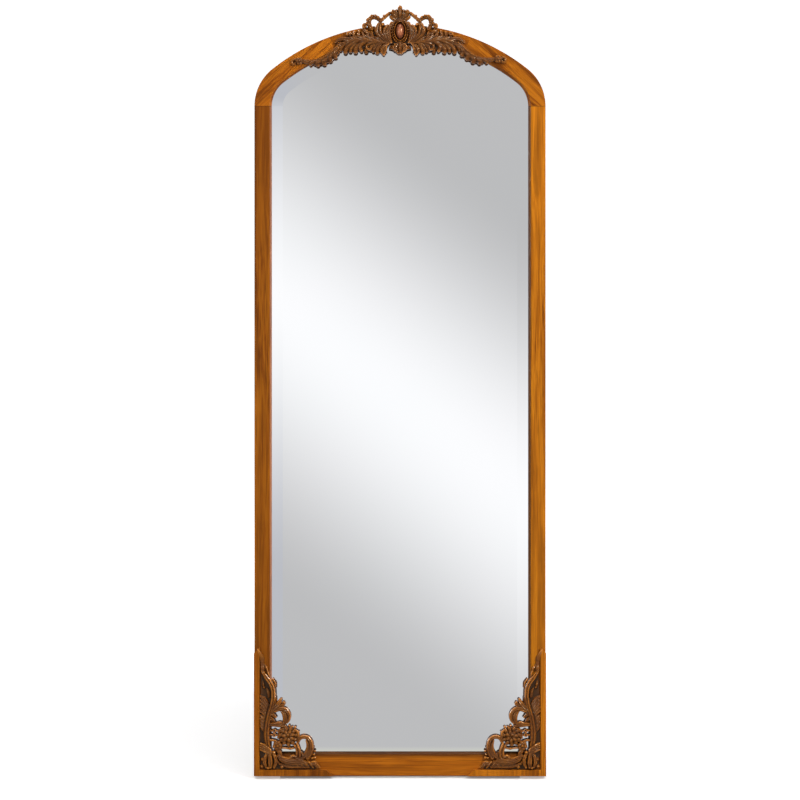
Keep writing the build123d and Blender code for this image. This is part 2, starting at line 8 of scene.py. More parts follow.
import bpy
import numpy as np
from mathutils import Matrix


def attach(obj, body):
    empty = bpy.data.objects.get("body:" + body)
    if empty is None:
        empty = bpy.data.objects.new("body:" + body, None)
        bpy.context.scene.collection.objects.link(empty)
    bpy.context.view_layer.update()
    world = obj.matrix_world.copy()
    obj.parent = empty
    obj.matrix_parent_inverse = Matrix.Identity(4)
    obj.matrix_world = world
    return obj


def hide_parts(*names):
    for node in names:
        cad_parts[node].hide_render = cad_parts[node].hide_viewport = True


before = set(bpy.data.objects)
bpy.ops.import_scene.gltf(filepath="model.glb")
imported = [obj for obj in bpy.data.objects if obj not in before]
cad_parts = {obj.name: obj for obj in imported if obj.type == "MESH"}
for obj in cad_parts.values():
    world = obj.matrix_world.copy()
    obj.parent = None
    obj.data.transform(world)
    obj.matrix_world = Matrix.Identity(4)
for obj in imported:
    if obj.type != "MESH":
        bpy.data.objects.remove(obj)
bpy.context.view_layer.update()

import openvdb
from mathutils import Matrix, Vector

MM = 0.001
LEAN = math.radians(8)  # the mirror leans back by this much
STRUT_TILT = math.radians(7)  # of the open strut, from upright
UPRIGHT_TO_ROW = Matrix.Rotation(-LEAN, 4, "X")
ROW_TO_UPRIGHT = UPRIGHT_TO_ROW.inverted()


# ---- Places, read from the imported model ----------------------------


def upright_box(name):
    """Lowest and highest corner of a CAD node, measured with the mirror stood upright."""
    turn = np.array(ROW_TO_UPRIGHT.to_3x3())
    points = np.array([v.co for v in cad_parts[name].data.vertices]) @ turn.T
    return points.min(0), points.max(0)


STILE_LOW, STILE_HIGH = upright_box("left_stile")
RAIL_TOP = upright_box("bottom_rail")[1][2]
CREST_TOP = upright_box("crest_carving")[1][2]
BORDER_LOW = upright_box("left_corner_border")[0]
GLASS_FRONT = upright_box("mirror_glass")[0][1]
CARVED_BACK = STILE_LOW[1]  # the frame's front face, which the carvings stand on
BOSS_DROP = 0.062  # from the crest's top to the middle of its oval boss
BOSS_RADII = (0.0104, 0.0190)
SPRIG_SHIFT = (-0.006, 0.005)  # the right sprig sits a little nearer to the crest and higher

CREST_STEPS = (1.4, 0.75)
SPRIG_STEPS = (1.2, 0.65)
CORNER_STEPS = (1.3, 0.7)
ADAPTIVITY = 0.02  # how far the mesher may merge facets that are nearly flat
SKIN = 0.001  # a relief's flat back lies this far behind its back plane, in millimetres
GROUND_TOP = 3.6  # ground stands no higher than this over the back plane, in millimetres; what lies lower is darkened as painted shade
BACK_TOP = 1.0  # what lies below this gets neither painted highlight nor painted shade
# Painted shade: how much darker the ground behind the foliage is made
GROUND_SHADE_WEIGHT = 1.2
BLUR_REACH = 3  # grid points each way that a point's surroundings take in, three times over


# ---- Relief carving ------------------------------------------------


def smooth_line(points, per_span=8):
    """Points along a smooth curve through the given points, and each one's span number."""
    p = np.array(points, float)
    ends = np.vstack([2 * p[0] - p[1], p, 2 * p[-1] - p[-2]])
    line, span = [], []
    for i in range(len(p) - 1):
        a, b, c, d = ends[i:i + 4]
        for k in range(per_span):
            t = k / per_span
            line.append(0.5 * (2 * b + (c - a) * t + (2 * a - 5 * b + 4 * c - d) * t**2
                               + (3 * b - a - 3 * c + d) * t**3))
            span.append(i + t)
    line.append(p[-1])
    span.append(len(p) - 1.0)
    return np.array(line), np.array(span)


def spiral(centre, radius, start, turns, end_radius, count=14):
    """Points of a volute that winds inwards from radius to end_radius. Angles in degrees."""
    share = np.linspace(0, 1, count)
    angle = np.radians(start + 360 * turns * share)
    r = radius + (end_radius - radius) * share**0.8
    return [(centre[0] + a * math.cos(b), centre[1] + a * math.sin(b)) for a, b in zip(r, angle)]


def circle(centre, radius, count, start=0):
    """Evenly spaced points of a circle, each with its angle in degrees."""
    turns = [math.radians(start + 360 * k / count) for k in range(count)]
    return [((centre[0] + radius * math.cos(a), centre[1] + radius * math.sin(a)), math.degrees(a))
            for a in turns]


class Relief:
    """A carving in low relief, as a volume of distances in millimetres: u runs right, v runs up
    and d comes out of the back plane. Strokes join it one by one."""

    FAR = 3.0

    def __init__(self, u_range, v_range, depth, steps):
        self.step = step = steps[1]
        self.u = np.arange(u_range[0], u_range[1] + step, step)
        self.v = np.arange(v_range[0], v_range[1] + step, step)
        self.d = np.arange(-2 * step, depth + 3 * step, step)
        self.field = np.full((len(self.u), len(self.v), len(self.d)), self.FAR, np.float32)

    def window(self, low, high):
        """Slices of the grid round a box, and the u and v of its points."""
        i = slice(*np.searchsorted(self.u, (low[0], high[0])))
        j = slice(*np.searchsorted(self.v, (low[1], high[1])))
        u, v = np.meshgrid(self.u[i], self.v[j], indexing="ij")
        return i, j, u, v

    def join(self, i, j, cover, height):
        """Add a shape: cover is how far inside its outline a point is, height its top there."""
        shape = np.maximum(-cover[..., None], self.d - height[..., None])
        part = self.field[i, j]
        np.minimum(part, np.minimum(shape, self.FAR), out=part)

    def cut(self, centre, radii, turn=0):
        """Pierce an oval hole."""
        i, j, _, _, rho = self.around(centre, radii, turn=turn)
        inside = (1 - rho) * min(radii)
        part = self.field[i, j]
        np.maximum(part, np.minimum(inside, self.FAR)[..., None], out=part)

    def around(self, centre, radii, margin=0, turn=0):
        """The window round an oval, and for each of its points 1 on the oval's outline and 0 at
        its centre."""
        reach = max(radii) + margin + 2
        i, j, u, v = self.window(np.subtract(centre, reach), np.add(centre, reach))
        a = math.radians(turn)
        x, y = u - centre[0], v - centre[1]
        along = x * math.cos(a) + y * math.sin(a)
        across = y * math.cos(a) - x * math.sin(a)
        return i, j, u, v, np.sqrt((along / radii[0])**2 + (across / radii[1])**2)

    def dome(self, centre, radii, low, high, turn=0):
        """A rounded boss, from low at its edge to high at its middle."""
        i, j, _, _, rho = self.around(centre, radii, turn=turn)
        round_top = np.sqrt(np.clip(1 - rho**2, 0, 1))
        self.join(i, j, (1 - rho) * min(radii), low + (high - low) * round_top)

    def ring(self, centre, radii, width, low, high, beads=0):
        """An oval band, rounded across, with beads along it if asked for."""
        i, j, u, v, rho = self.around(centre, radii, width)
        off = (rho - 1) * np.hypot(u - centre[0], v - centre[1]) / np.maximum(rho, 0.05)
        across = off / width
        top = low + (high - low) * np.sqrt(np.clip(1 - across**2, 0, 1))
        if beads:
            angle = np.arctan2((v - centre[1]) / radii[1], (u - centre[0]) / radii[0])
            top = top - 0.45 * (high - low) * (1 - np.abs(np.sin(angle * beads / 2)))
        self.join(i, j, width - np.abs(off), top)

    def follow(self, points, reach):
        """The window round a smooth line, and for each of its points how far the line is, how
        far along it, counted in the given points, and on which side."""
        line, span = smooth_line(points)
        i, j, u, v = self.window(line.min(0) - reach, line.max(0) + reach)
        best = np.full(u.shape, 1e9)
        place = np.zeros(u.shape)
        side = np.zeros(u.shape)
        for k in range(len(line) - 1):
            a, ab = line[k], line[k + 1] - line[k]
            au, av = u - a[0], v - a[1]
            t = np.clip((au * ab[0] + av * ab[1]) / (ab @ ab + 1e-9), 0, 1)
            du, dv = au - t * ab[0], av - t * ab[1]
            far = du * du + dv * dv
            near = far < best
            best = np.where(near, far, best)
            place = np.where(near, span[k] + t * (span[k + 1] - span[k]), place)
            side = np.where(near, np.sign(ab[0] * dv - ab[1] * du), side)
        return i, j, np.sqrt(best), place, side

    def ribbon(self, points, width, top, drop=0.8, ribs=1, rib_depth=0.0,
               lobes=0, lobe_cut=0.35, lobe_depth=1.2, sweep=0.6):
        """A stroke along a smooth line. width is the half width and top the height at each
        point. drop rounds its section. ribs run along it. lobes scallop its edges like a leaf's,
        with flutes that lean towards its tip by sweep."""
        stations = np.arange(len(points))
        if np.isscalar(top):
            top = [top] * len(points)
        i, j, off, place, side = self.follow(points, max(width) + 2)
        half = np.interp(place, stations, width)
        crown = np.interp(place, stations, top)
        across = np.clip(off / np.maximum(half, 0.01), 0, 1)
        edge = half
        height = crown - drop * half * (1 - np.sqrt(1 - across**2 * 0.96))
        if ribs > 1 or rib_depth:
            wave = np.abs(np.sin(math.pi * ribs * (side * across + 1) / 2))
            height = height - rib_depth * (1 - wave)
        if lobes:
            phase = lobes * place / stations[-1] - sweep * across
            wave = np.abs(np.sin(math.pi * phase))
            edge = half * (1 - lobe_cut * (1 - wave**0.7))
            height = height - lobe_depth * (1 - wave) * np.minimum(1.6 * across, 1)
        self.join(i, j, edge - off, height)

    def fluted(self, points, width, top, groove, drop=0.9):
        """A stroke with a groove of this depth along its middle."""
        self.ribbon(points, width, top, drop, ribs=2, rib_depth=groove)

    def cut_line(self, points, width):
        """Pierce a slot along a smooth line."""
        i, j, off, _, _ = self.follow(points, width + 2)
        part = self.field[i, j]
        np.maximum(part, np.minimum(width - off, self.FAR)[..., None], out=part)

    def both(self):
        """Make the carving symmetric about u = 0."""
        np.minimum(self.field, self.field[::-1], out=self.field)

    def mesh(self, name, corner, flip=False):
        """The carving as a closed mesh in the row frame. corner is where u, v and d are 0, in the
        upright mirror's axes. Each point's tone says how far it stands above its surroundings, in
        millimetres, which the finish reads as painted highlight on what stands high and painted
        shade in what lies low."""
        field = np.maximum(self.field, -self.d - SKIN)
        grid = openvdb.FloatGrid(background=self.FAR)
        grid.copyFromArray(np.ascontiguousarray(field, np.float32))
        points, triangles, quads = grid.convertToPolygons(isovalue=0.0, adaptivity=ADAPTIVITY)
        around = (field < 0).sum(2) * self.step
        for axis in (0, 1) * 3:
            shifts = range(-BLUR_REACH, BLUR_REACH + 1)
            around = sum(np.roll(around, k, axis) for k in shifts) / len(shifts)
        i = np.clip(np.round(points[:, 0]).astype(int), 0, len(self.u) - 1)
        j = np.clip(np.round(points[:, 1]).astype(int), 0, len(self.v) - 1)
        out = self.d[0] + points[:, 2] * self.step
        ground_shade = np.clip(GROUND_TOP - out, 0, 1)  # painted shade: the ground behind the foliage is darkened
        # Tone gives painted highlight on ridges and painted shade in hollows; the back faces get
        # neither
        tone = np.where(out < BACK_TOP, 0.0, out - around[i, j] - GROUND_SHADE_WEIGHT * ground_shade)
        u = self.u[0] + points[:, 0] * self.step
        v = self.v[0] + points[:, 1] * self.step
        if flip:
            u = -u
        upright = np.column_stack([corner[0] + u * MM, corner[1] - out * MM, corner[2] + v * MM])
        rows = upright @ np.array(UPRIGHT_TO_ROW.to_3x3()).T
        faces = [f[::1 if flip else -1].tolist() for f in (*triangles, *quads)]
        data = bpy.data.meshes.new(name)
        data.from_pydata(rows.tolist(), [], faces)
        data.polygons.foreach_set("use_smooth", [True] * len(data.polygons))
        stored = data.attributes.new("tone", "FLOAT", "POINT")
        stored.data.foreach_set("value", tone.astype(np.float32))
        data.update()
        return link(name, data)


def carve_crest():
    """Cartouche with an oval boss under a palmette, pierced scrolls and acanthus to both sides.
    The left half is drawn and then mirrored. The origin is the middle of its top."""
    r = Relief((-162, 162), (-124, 2), 23, CREST_STEPS)
    # Ground behind the leaves, which the finish darkens with painted shade
    r.ribbon([(-8, -94), (-40, -86), (-80, -82), (-118, -84)], [12, 15, 13, 8], [5, 5, 4, 3],
             drop=0.1)
    r.ribbon([(-20, -80), (-38, -68), (-60, -70)], [12, 13, 7], 5, drop=0.1)
    r.dome((0, -62), (23, 30), 4, 7)
    # Body of the acanthus lying along the arch
    r.ribbon([(-30, -90), (-55, -86), (-85, -83), (-115, -84), (-136, -90)], [8, 12, 12, 11, 5],
             [12, 15.5, 15, 13, 8], drop=0.6, lobes=6, lobe_cut=0.10, lobe_depth=4.0, sweep=1.1)
    r.ribbon([(-46, -94), (-80, -92), (-122, -95)], [11, 13, 10], 5.5, drop=0.1)
    # Its lobes, which hang over the glass
    lobes = (
        ([(-42, -88), (-49, -98), (-53, -106), (-53, -111)], [4, 5.8, 6, 5.2], 14),
        ([(-50, -92), (-59, -101), (-62, -108)], [3, 4.4, 4.2], 12),
        ([(-56, -90), (-65, -97), (-68.5, -103)], [4, 5.6, 5.2], 13.5),
        ([(-66, -90), (-75, -98), (-79, -105), (-79, -109)], [4, 6, 6.4, 5.4], 9.5),
        ([(-78, -86), (-90, -92), (-94, -100), (-90, -107)], [3.8, 5.2, 5, 4], 15),
        ([(-88, -88), (-98, -95), (-103.5, -103), (-104, -109)], [4, 5.8, 6.4, 5.6], 14),
        ([(-100, -88), (-109, -96), (-114.5, -103), (-116, -108)], [3.6, 5, 5.4, 4.6], 12),
        ([(-108, -88), (-119, -95), (-125.5, -103), (-127.5, -110)], [3.6, 5.8, 6.2, 5.4], 13),
        ([(-118, -86), (-130, -93), (-137, -100), (-139, -105)], [3, 4.8, 5.2, 4.2], 10),
    )
    for line, width, top in lobes:
        r.ribbon(line, width, [top - 1] + [top] * (len(line) - 2) + [top - 2.5], drop=1.5)
    # Netted bud and folded leaf at the acanthus's outer end
    r.dome((-140, -93), (8.5, 7.5), 4, 9)
    for i in range(-1, 2):
        for j in range(-1, 2):
            r.dome((-140 + 4.4 * i + 1.2 * j, -93 + 4.2 * j), (2, 2), 7, 10.5)
    r.fluted([(-112, -81), (-128, -79), (-141, -81), (-151, -88)], [4, 5.5, 5, 2.5], [9, 9, 8, 6],
             1, drop=0.7)
    # Curled lobe beside the drop
    r.fluted([(-28, -93), (-38, -97), (-42.5, -106), (-38, -116)], [3, 4.4, 4.8, 3.2],
             [12, 15, 15, 11], 1.6, drop=0.95)
    r.ribbon([(-31, -97), (-36, -104), (-35, -112)], [2.4, 3.6, 3], [12, 13, 11], drop=1.0)
    r.dome((-31, -104), (4, 5), 8, 13.5)
    r.ribbon(spiral((-72, -99), 8.0, 60, 0.9, 4.2), [2.6] * 14, [13] * 14, drop=1.1)
    # Knobs and curls on the upper edge of the arch
    r.dome((-118, -68), (6.4, 6.4), 4, 11)
    r.ribbon(spiral((-118, -68), 5.2, 200, -1.1, 1.4), [2.0] * 14, 12, drop=1.0)
    r.fluted([(-104, -76), (-108, -70), (-106, -63)], [3.4, 4.4, 3], [8, 11, 9], 1.2)
    r.fluted([(-92, -76), (-97, -70), (-95, -61)], [3.4, 4.6, 3], [7, 9, 8], 1.2)
    for u, v in ((-84, -72), (-74, -74), (-65, -75)):
        r.fluted([(u + 6, v - 6), (u, v), (u - 4, v + 8)], [3, 4.2, 2.6], [10, 12, 9], 1.3)
    r.fluted([(-58, -84), (-64, -75), (-66, -64)], [3.2, 4.2, 3], [11, 13, 10], 1.3)
    # Leaf that divides the two openings: its ribs rise from the boss's foot
    ribs = (
        ([(-27, -89), (-38, -81), (-50, -71), (-54.5, -59), (-52, -49), (-47.5, -42)],
         [2.6, 4.4, 5.4, 5.6, 5, 3.4], [10, 13, 15, 15, 14, 11]),
        ([(-26, -88), (-34, -79), (-43, -69), (-47, -58), (-46.5, -49), (-43.5, -43)],
         [2.4, 3.8, 4.2, 4, 3.6, 2.4], [11, 14, 16, 16, 15, 12]),
        # Leaf that hugs the boss
        ([(-24, -89), (-31, -80), (-35.5, -70), (-36.5, -60), (-32, -51.5), (-26, -46)],
         [2.4, 3.6, 4, 4, 3.8, 2.6], [11, 14, 16, 16, 15, 12]),
        ([(-22, -89), (-27, -79), (-30, -69), (-30, -60), (-25.5, -50.5), (-19.5, -42)],
         [2.2, 3.4, 3.8, 3.8, 4.2, 3.6], [12, 15, 17, 17, 16, 13]),
        ([(-20, -88), (-22.5, -78), (-24.5, -68), (-24, -58), (-20, -48), (-14, -40.5)],
         [2.2, 3.2, 3.4, 3.4, 3.2, 2.6], [12, 15, 16, 16, 15, 13]),
    )
    for line, width, top in ribs:
        r.ribbon(line, width, top, drop=1.6)
    r.dome((-39.5, -45.5), (3.6, 3.6), 8, 14)
    r.ring((-39.5, -45.5), (2.6, 2.6), 1.1, 9, 15)
    # Outer scroll over its opening, knotted along its edge, and its volute
    scroll = [(-46, -37), (-52, -31.5), (-58.5, -28.5), (-66, -29), (-71, -34), (-72.5, -41),
              (-71, -48), (-66, -56)]
    r.ribbon(scroll, [4.6, 5.2, 5.6, 5.8, 5.8, 5.6, 5.4, 5], [12, 13, 14, 15, 15, 14, 13, 11],
             drop=0.9, ribs=2, rib_depth=1.6, lobes=8, lobe_cut=0.14, lobe_depth=2.0, sweep=0.3)
    for u, v, size in ((-66.5, -27.5, 5), (-57.5, -26, 3.8), (-51, -29.5, 3.8), (-75.5, -35, 4.2),
                       (-77, -43, 4.0)):
        r.dome((u, v), (size, size), 9, 13 + size * 0.5)
        r.ring((u, v), (size * 0.62, size * 0.62), 1.1, 9, 14 + size * 0.5)
    r.ribbon(spiral((-82, -48.5), 5.6, 250, -1.1, 1.6), [2.3] * 14, 12, drop=1.0)
    r.dome((-82, -48.5), (3, 3), 8, 12)
    r.fluted([(-72, -66), (-80, -62), (-86, -56)], [4.6, 5, 3.4], [9, 11, 9], 1.2)
    # Arm from the scroll to the palmette
    r.ribbon([(-46, -37), (-40, -33), (-33, -26.5), (-25, -20)], [4.4, 4.2, 3.8, 4],
             [13, 14, 13.5, 12], drop=1.0)
    r.dome((-37.5, -25.5), (3, 3), 8, 12)
    # Palmette
    r.dome((0, -30), (15, 8), 7, 12)
    r.ribbon([(-3.5, -36), (-7.5, -24), (-8.5, -14)], [2, 3.2, 3.6], [10, 14, 13], drop=1.3)
    r.ribbon([(-5, -36), (-12.5, -26), (-16.5, -17.5)], [2.8, 5.4, 6.6], [10, 15, 16], drop=1.2)
    r.ring((-17, -17), (3.4, 3.4), 1.3, 10, 17.5)
    r.ribbon([(-6, -37), (-15, -33), (-20.5, -28.5)], [2.8, 4.6, 4.6], [10, 13.5, 13], drop=1.2)
    r.fluted([(0, -37), (0, -24), (0, -8)], [3.0, 4.6, 5.6], [12, 17, 18], 1.2, drop=1.2)
    r.dome((0, -6.5), (5.4, 5.2), 9, 19)
    r.ribbon([(-14, -39), (-8, -37.5), (0, -37)], [2.2, 2.8, 3], [12, 14, 15], drop=1.2)
    # Oval boss in a roped and a beaded rim
    r.ring((0, -62), (18.4, 26.6), 2.9, 8, 14.5, beads=26)
    r.ring((0, -62), (13.4, 22.2), 2.2, 9, 17, beads=40)
    r.dome((0, -62), (10.0, 18.6), 11, 21)
    # Drop under the boss
    r.ribbon([(-5, -90), (-13, -94), (-15, -101), (-10.5, -108)], [2, 2.6, 2.8, 2.2],
             [12, 13, 13, 11], drop=0.9)
    r.fluted([(-3, -90), (-8.5, -99), (-8, -107), (-3, -113)], [3, 3.8, 3.8, 2.6],
             [12, 14.5, 14, 11], 1, drop=1.0)
    r.ribbon([(0, -88), (0, -102), (0, -112)], [3, 4.2, 3.4], [14, 17, 13], drop=1.0)
    r.dome((-16.8, -99.5), (5.6, 5.6), 3, 10.5)
    r.both()
    # Bay over the glass round each ball, and what stays pierced of the openings
    for side in (-1, 1):
        r.cut_line([(side * u, v) for u, v in ((28.6, -106), (27.6, -97.5), (22, -91.5),
                                               (15.5, -93.5))], 2.0)
        r.cut((side * 60, -42.5), (4.0, 8.0), side * -24)
        r.cut((side * 31, -40), (8.5, 3.0), side * 46)
    return r


def carve_sprig():
    """Trailing leaf of the left side, from the crest's end to a small flower: the same origin."""
    r = Relief((-262, -138), (-152, -90), 18, SPRIG_STEPS)
    spine = [(-142, -95), (-152, -105), (-164, -116), (-178, -126), (-196, -132), (-213, -133),
             (-227, -131)]
    r.ribbon(spine, [4.4, 6, 6.4, 6.2, 6, 5.4, 4.4], [9, 11, 11, 10, 9, 8.5, 9], drop=0.55, ribs=3,
             rib_depth=1)
    r.ribbon([(-148, -110), (-163, -124), (-180, -133), (-198, -137)], [7, 7, 6, 5], 5, drop=0.1)
    leaves = (
        ([(-145, -100), (-154, -112), (-151, -121)], 6.8),
        ([(-153, -108), (-165, -121), (-163, -129)], 7.4),
        ([(-165, -119), (-178, -130), (-177, -137)], 7.2),
        ([(-180, -127), (-193, -135), (-192, -140)], 6.4),
        ([(-196, -131), (-208, -136), (-209, -139)], 4.8),
    )
    for line, wide in leaves:
        r.ribbon(line, [wide * 0.7, wide, wide * 0.8], [10, 12.5, 9.5], drop=1.2)
    r.ribbon([(-147, -97), (-158, -108), (-171, -119), (-186, -127)], [1.6, 2.2, 2.2, 1.4],
             [10, 13, 13, 11], drop=1.0)
    # Flower knob, and the hollow scroll beyond it
    for at, _ in circle((-234.5, -131), 5, 6):
        r.dome(at, (4.3, 4.3), 6, 12)
    r.dome((-234.5, -131), (4, 4), 9, 15)
    r.ribbon(spiral((-247, -134), 7.5, 20, 0.9, 3.5), [2.8] * 14, [7] * 14, drop=1.0)
    return r


def carve_corner():
    """Foliage of the left lower corner. The origin is the frame's outer lower corner."""
    r = Relief((6, 168), (12, 304), 21, CORNER_STEPS)
    # Ground on the stile and the rail, behind the foliage, which the finish darkens with painted
    # shade
    ground = [(22, 240), (26, 222), (29, 190), (28, 150), (25, 110), (24, 70), (30, 34)]
    r.ribbon(ground, [4, 11, 14, 15, 13, 12, 14], 2.2, drop=0.02)
    r.ribbon([(30, 30), (70, 28), (110, 24), (140, 20)], [15, 13, 10, 5], 2.2, drop=0.02)
    # Slender top leaf on the border, with the bud under it
    r.ribbon([(9, 296), (12, 290), (17, 280), (19, 268), (20, 258)], [1.6, 3.0, 3.8, 4.2, 4],
             [9.5, 9.5, 8, 6, 6], drop=0.5, ribs=3, rib_depth=0.8)
    r.ribbon([(15, 286), (21, 279), (23, 270)], [1.2, 2.0, 1.2], [6, 5, 3], drop=0.8)
    r.dome((20.5, 252), (6, 9), 2, 8)
    r.ribbon([(25, 260), (29, 254), (31, 249)], [1.4, 2.6, 1.6], [5, 8.5, 7], drop=1.0)
    r.ribbon([(31, 248), (34, 240), (35, 232)], [1.2, 2.2, 1.4], [5, 7, 7], drop=1.0)
    # Main stem, a double ridge
    stem = [(18, 247), (23, 240), (30, 229.5), (37.5, 220), (42.5, 210.5), (45, 201), (45.8, 188),
            (44.5, 175), (41, 160), (36, 143), (32.5, 125), (30.5, 110), (30, 97), (31, 82),
            (34, 70)]
    r.fluted(stem, [2.4, 3.8, 5, 5.4, 5.4, 5.2, 5, 5.2, 5.4, 5.8, 6.2, 6.6, 6.8, 6.2, 4.5],
             [8, 12, 15, 16.5, 17, 17, 16.5, 16, 15.5, 15, 14.5, 14.5, 14.5, 13, 11], 2.8,
             drop=0.75)
    r.ribbon([(43, 228), (49, 218), (51, 206)], [1.2, 2.6, 1.2], 8, drop=1.0)
    # Small leaf on the dark ground, and the feathered leaf below it
    r.fluted([(21, 222), (22, 214), (24, 206)], [1.6, 3, 1.6], [4, 6.5, 4], 0.8)
    r.dome((24, 207), (2.6, 2.6), 3, 6.5)
    r.ribbon([(30, 205), (34, 196), (35, 186)], [2, 4, 3], [4, 6, 5], drop=0.6)
    for k in range(5):
        v = 186 - 8.5 * k
        r.fluted([(15, v), (24, v - 6), (35 - k, v - 20)], [3.6, 5.2, 3.4], [6, 8.5, 7], 1.4,
                 drop=0.6)
    for k in range(4):
        v = 141 - 8 * k
        r.ribbon([(16, v), (21.5, v - 6), (27, v - 17)], [3.2, 4.6, 3], [5.5, 8, 6.5], drop=0.6)
    # Leaf cluster on the glass side of the stem
    cluster = (
        ([(42, 158), (47, 171), (50, 184)], 5.4, 12.5),
        ([(43, 155), (56, 167), (62, 179)], 6.6, 14.5),
        ([(46, 152), (60, 160), (71, 169)], 6.4, 13),
        ([(38, 151), (44, 144), (51, 138)], 5.2, 13),
        ([(35, 140), (42, 133), (48, 127)], 4.8, 13),
    )
    for line, wide, top in cluster:
        r.fluted(line, [wide * 0.8, wide, wide * 0.5], [top, top, top - 4], 2.2, drop=0.85)
    r.dome((69.5, 172), (3.4, 3.4), 4, 10)
    # Upper loop, its inside half filled by a blade
    loop = [(48, 153), (59, 157), (70, 157), (78, 151), (82, 142), (81, 132), (75, 124)]
    r.fluted(loop, [5, 5.2, 5.2, 5, 4.6, 4.2, 3], [14, 14, 13.5, 13, 12.5, 12, 10], 1.6, drop=0.95)
    r.fluted([(64, 155), (70, 147), (73, 138), (72, 129), (68, 121)], [4, 5.6, 6.2, 5.4, 3.4],
             [11, 13, 14, 12, 9], 1.8, drop=0.95)
    r.fluted([(37, 121), (48, 121), (60, 119), (73, 116)], [5, 5.4, 5, 3.6], [12, 13, 12.5, 10],
             1.6, drop=0.95)
    r.ribbon([(50, 124), (60, 125), (69, 122)], [2, 3.4, 3], [9, 11, 10], drop=0.9)
    # Shell of two rings of petals round an eye
    centre = (80.5, 93.5)
    r.dome(centre, (21, 21), 3, 9)
    for petals, radius, size, low, high, phase in ((11, 17, 6.2, 5, 12, 8),
                                                   (7, 9.5, 5.8, 9, 15.5, 20)):
        rings = (circle(centre, radius + off, petals, phase) for off in (-5, 0, 4))
        for (inner, _), (at, angle), (outer, _) in zip(*rings):
            r.dome(at, (size * 1.1, size * 0.86), low, high, angle)
            r.ribbon([inner, outer], [1.2, 1.0], [high - 1, high - 0.5], drop=1.0)
    r.dome((79.5, 97), (4.6, 4.6), 10, 17)
    r.ring((79.5, 97), (5.8, 5.8), 1.3, 9, 14.5, beads=12)
    for line in ([(73, 110), (64, 108), (58, 102)], [(70, 99), (62, 96), (57, 90)],
                 [(72, 86), (64, 84), (60, 80)]):
        r.fluted(line, [4.4, 5, 3], [10, 12, 9], 1.4, drop=0.95)
    r.ribbon([(95, 110), (102, 103), (103.5, 94), (101, 86)], [2.2, 3, 3, 2.2], [10, 12, 12, 9],
             drop=1.0)
    for u, v, size in ((82.7, 117.8, 3), (90, 115.5, 2.4), (96.5, 114.5, 3.2), (104.5, 104, 2.6),
                       (106, 92, 2.8), (105, 82.5, 3)):
        r.dome((u, v), (size, size), 4, 11)
    # Curls in the upright opening, then the small rosette
    for v in (106, 96):
        r.ring((47.3, v), (3.4, 3.4), 1.4, 4, 10)
        r.ribbon([(36, v + 1), (44.5, v)], [2, 1.6], 8)
        r.ribbon([(50.5, v), (58, v - 1)], [1.6, 2], 8)
    r.ribbon([(36, 84), (44, 84), (52, 81)], [2.4, 2.4, 3], 9)
    for at, _ in circle((55.5, 71), 6.6, 6, 15):
        r.dome(at, (5.6, 5.6), 5, 12)
    r.dome((55.5, 71), (4.4, 4.4), 9, 15.5)
    r.fluted([(56, 62), (60, 55), (62, 48)], [5, 5, 4.4], [11, 11, 10], 1.2)
    # Bridge across the lower opening
    r.ribbon([(66, 66), (76, 65.5), (85, 64), (96, 67)], [1.8, 1.8, 2, 2.2], 8)
    r.dome((84, 64.5), (3.2, 3.2), 4, 10)
    r.ribbon([(95, 72), (99, 64), (101, 54), (99, 44)], [2.2, 2.6, 2.8, 2.8], [10, 11, 11, 10],
             drop=1.0)
    r.ribbon([(101, 77), (104.5, 66), (107, 56), (107, 46), (103, 37)], [2.4, 3, 3.2, 3.2, 2.6],
             [11, 13, 13, 12, 10], drop=1.0)
    # Lower loop with its blades
    loop = [(103, 80), (107, 88), (115, 92), (125, 90), (132, 82), (134.5, 69), (132, 55),
            (125, 43)]
    r.fluted(loop, [3.8, 4.4, 4.8, 4.8, 5, 5.4, 5.8, 5], [11, 12.5, 13, 13.5, 14, 14.5, 13.5, 11],
             1.8)
    r.fluted([(123, 83), (126, 74), (126, 62), (121, 50), (112, 42)], [2.4, 3.8, 5, 6, 5],
             [11, 12.5, 13, 12, 10], 1.6, drop=0.95)
    r.fluted([(111, 56), (115, 48), (112, 38)], [2, 4.6, 4.6], [9, 11, 10], 1.4, drop=0.95)
    for u, v, size in ((138.8, 66, 3.2), (142, 58.8, 3), (140, 51.5, 3), (142, 43.5, 3.4)):
        r.dome((u, v), (size, size), 3, 9.5)
        r.ribbon([(u - 6, v - 1), (u - 1, v)], [2.6, 2], 8)
    # Lower stem along the rail, fluted
    stem = [(58, 47), (66, 40.5), (78, 36), (92, 34), (108, 33.5), (122, 30), (132, 26)]
    r.ribbon(stem, [4.6, 7.2, 8.4, 8.4, 8, 6.6, 4], [11.5, 14.5, 15.5, 15, 13.5, 11, 8], drop=0.7,
             ribs=4, rib_depth=1.8)
    r.fluted([(60, 29), (80, 23.5), (104, 23), (128, 21.5)], [3.6, 4.6, 4.6, 3.4], [9, 11, 10, 8],
             1.4)
    r.fluted([(82, 41), (92, 47), (101, 43)], [2.6, 4, 2.4], [11, 12.5, 10], 1.2, drop=0.95)
    for k in range(6):
        u = 74 + 11 * k
        r.ribbon([(u, 33), (u + 5, 26), (u + 10, 20)], [2.2, 3, 1.6], [11.5, 11.5, 8], drop=1.0)
    r.dome((65.5, 22), (4.6, 4.2), 5, 11.5)
    # Leaf at the rail's end
    for tip, wide in (((154, 20.5), 4.6), ((149, 19), 3.4), ((148, 31), 3.2)):
        r.fluted([(131, 30), ((131 + tip[0]) / 2 + 1, (30 + tip[1]) / 2 + 3), tip],
                 [3.5, wide, 1.6], [10, 11, 7], 1.3, drop=0.95)
    # Fluted leaf that crosses from the border
    for k in range(4):
        r.ribbon([(15.5, 77 - 5 * k), (26, 72 - 4.7 * k), (39, 62 - 3.4 * k)], [1.8, 2.8, 2.2],
                 [9, 14.5, 13], drop=1.1)
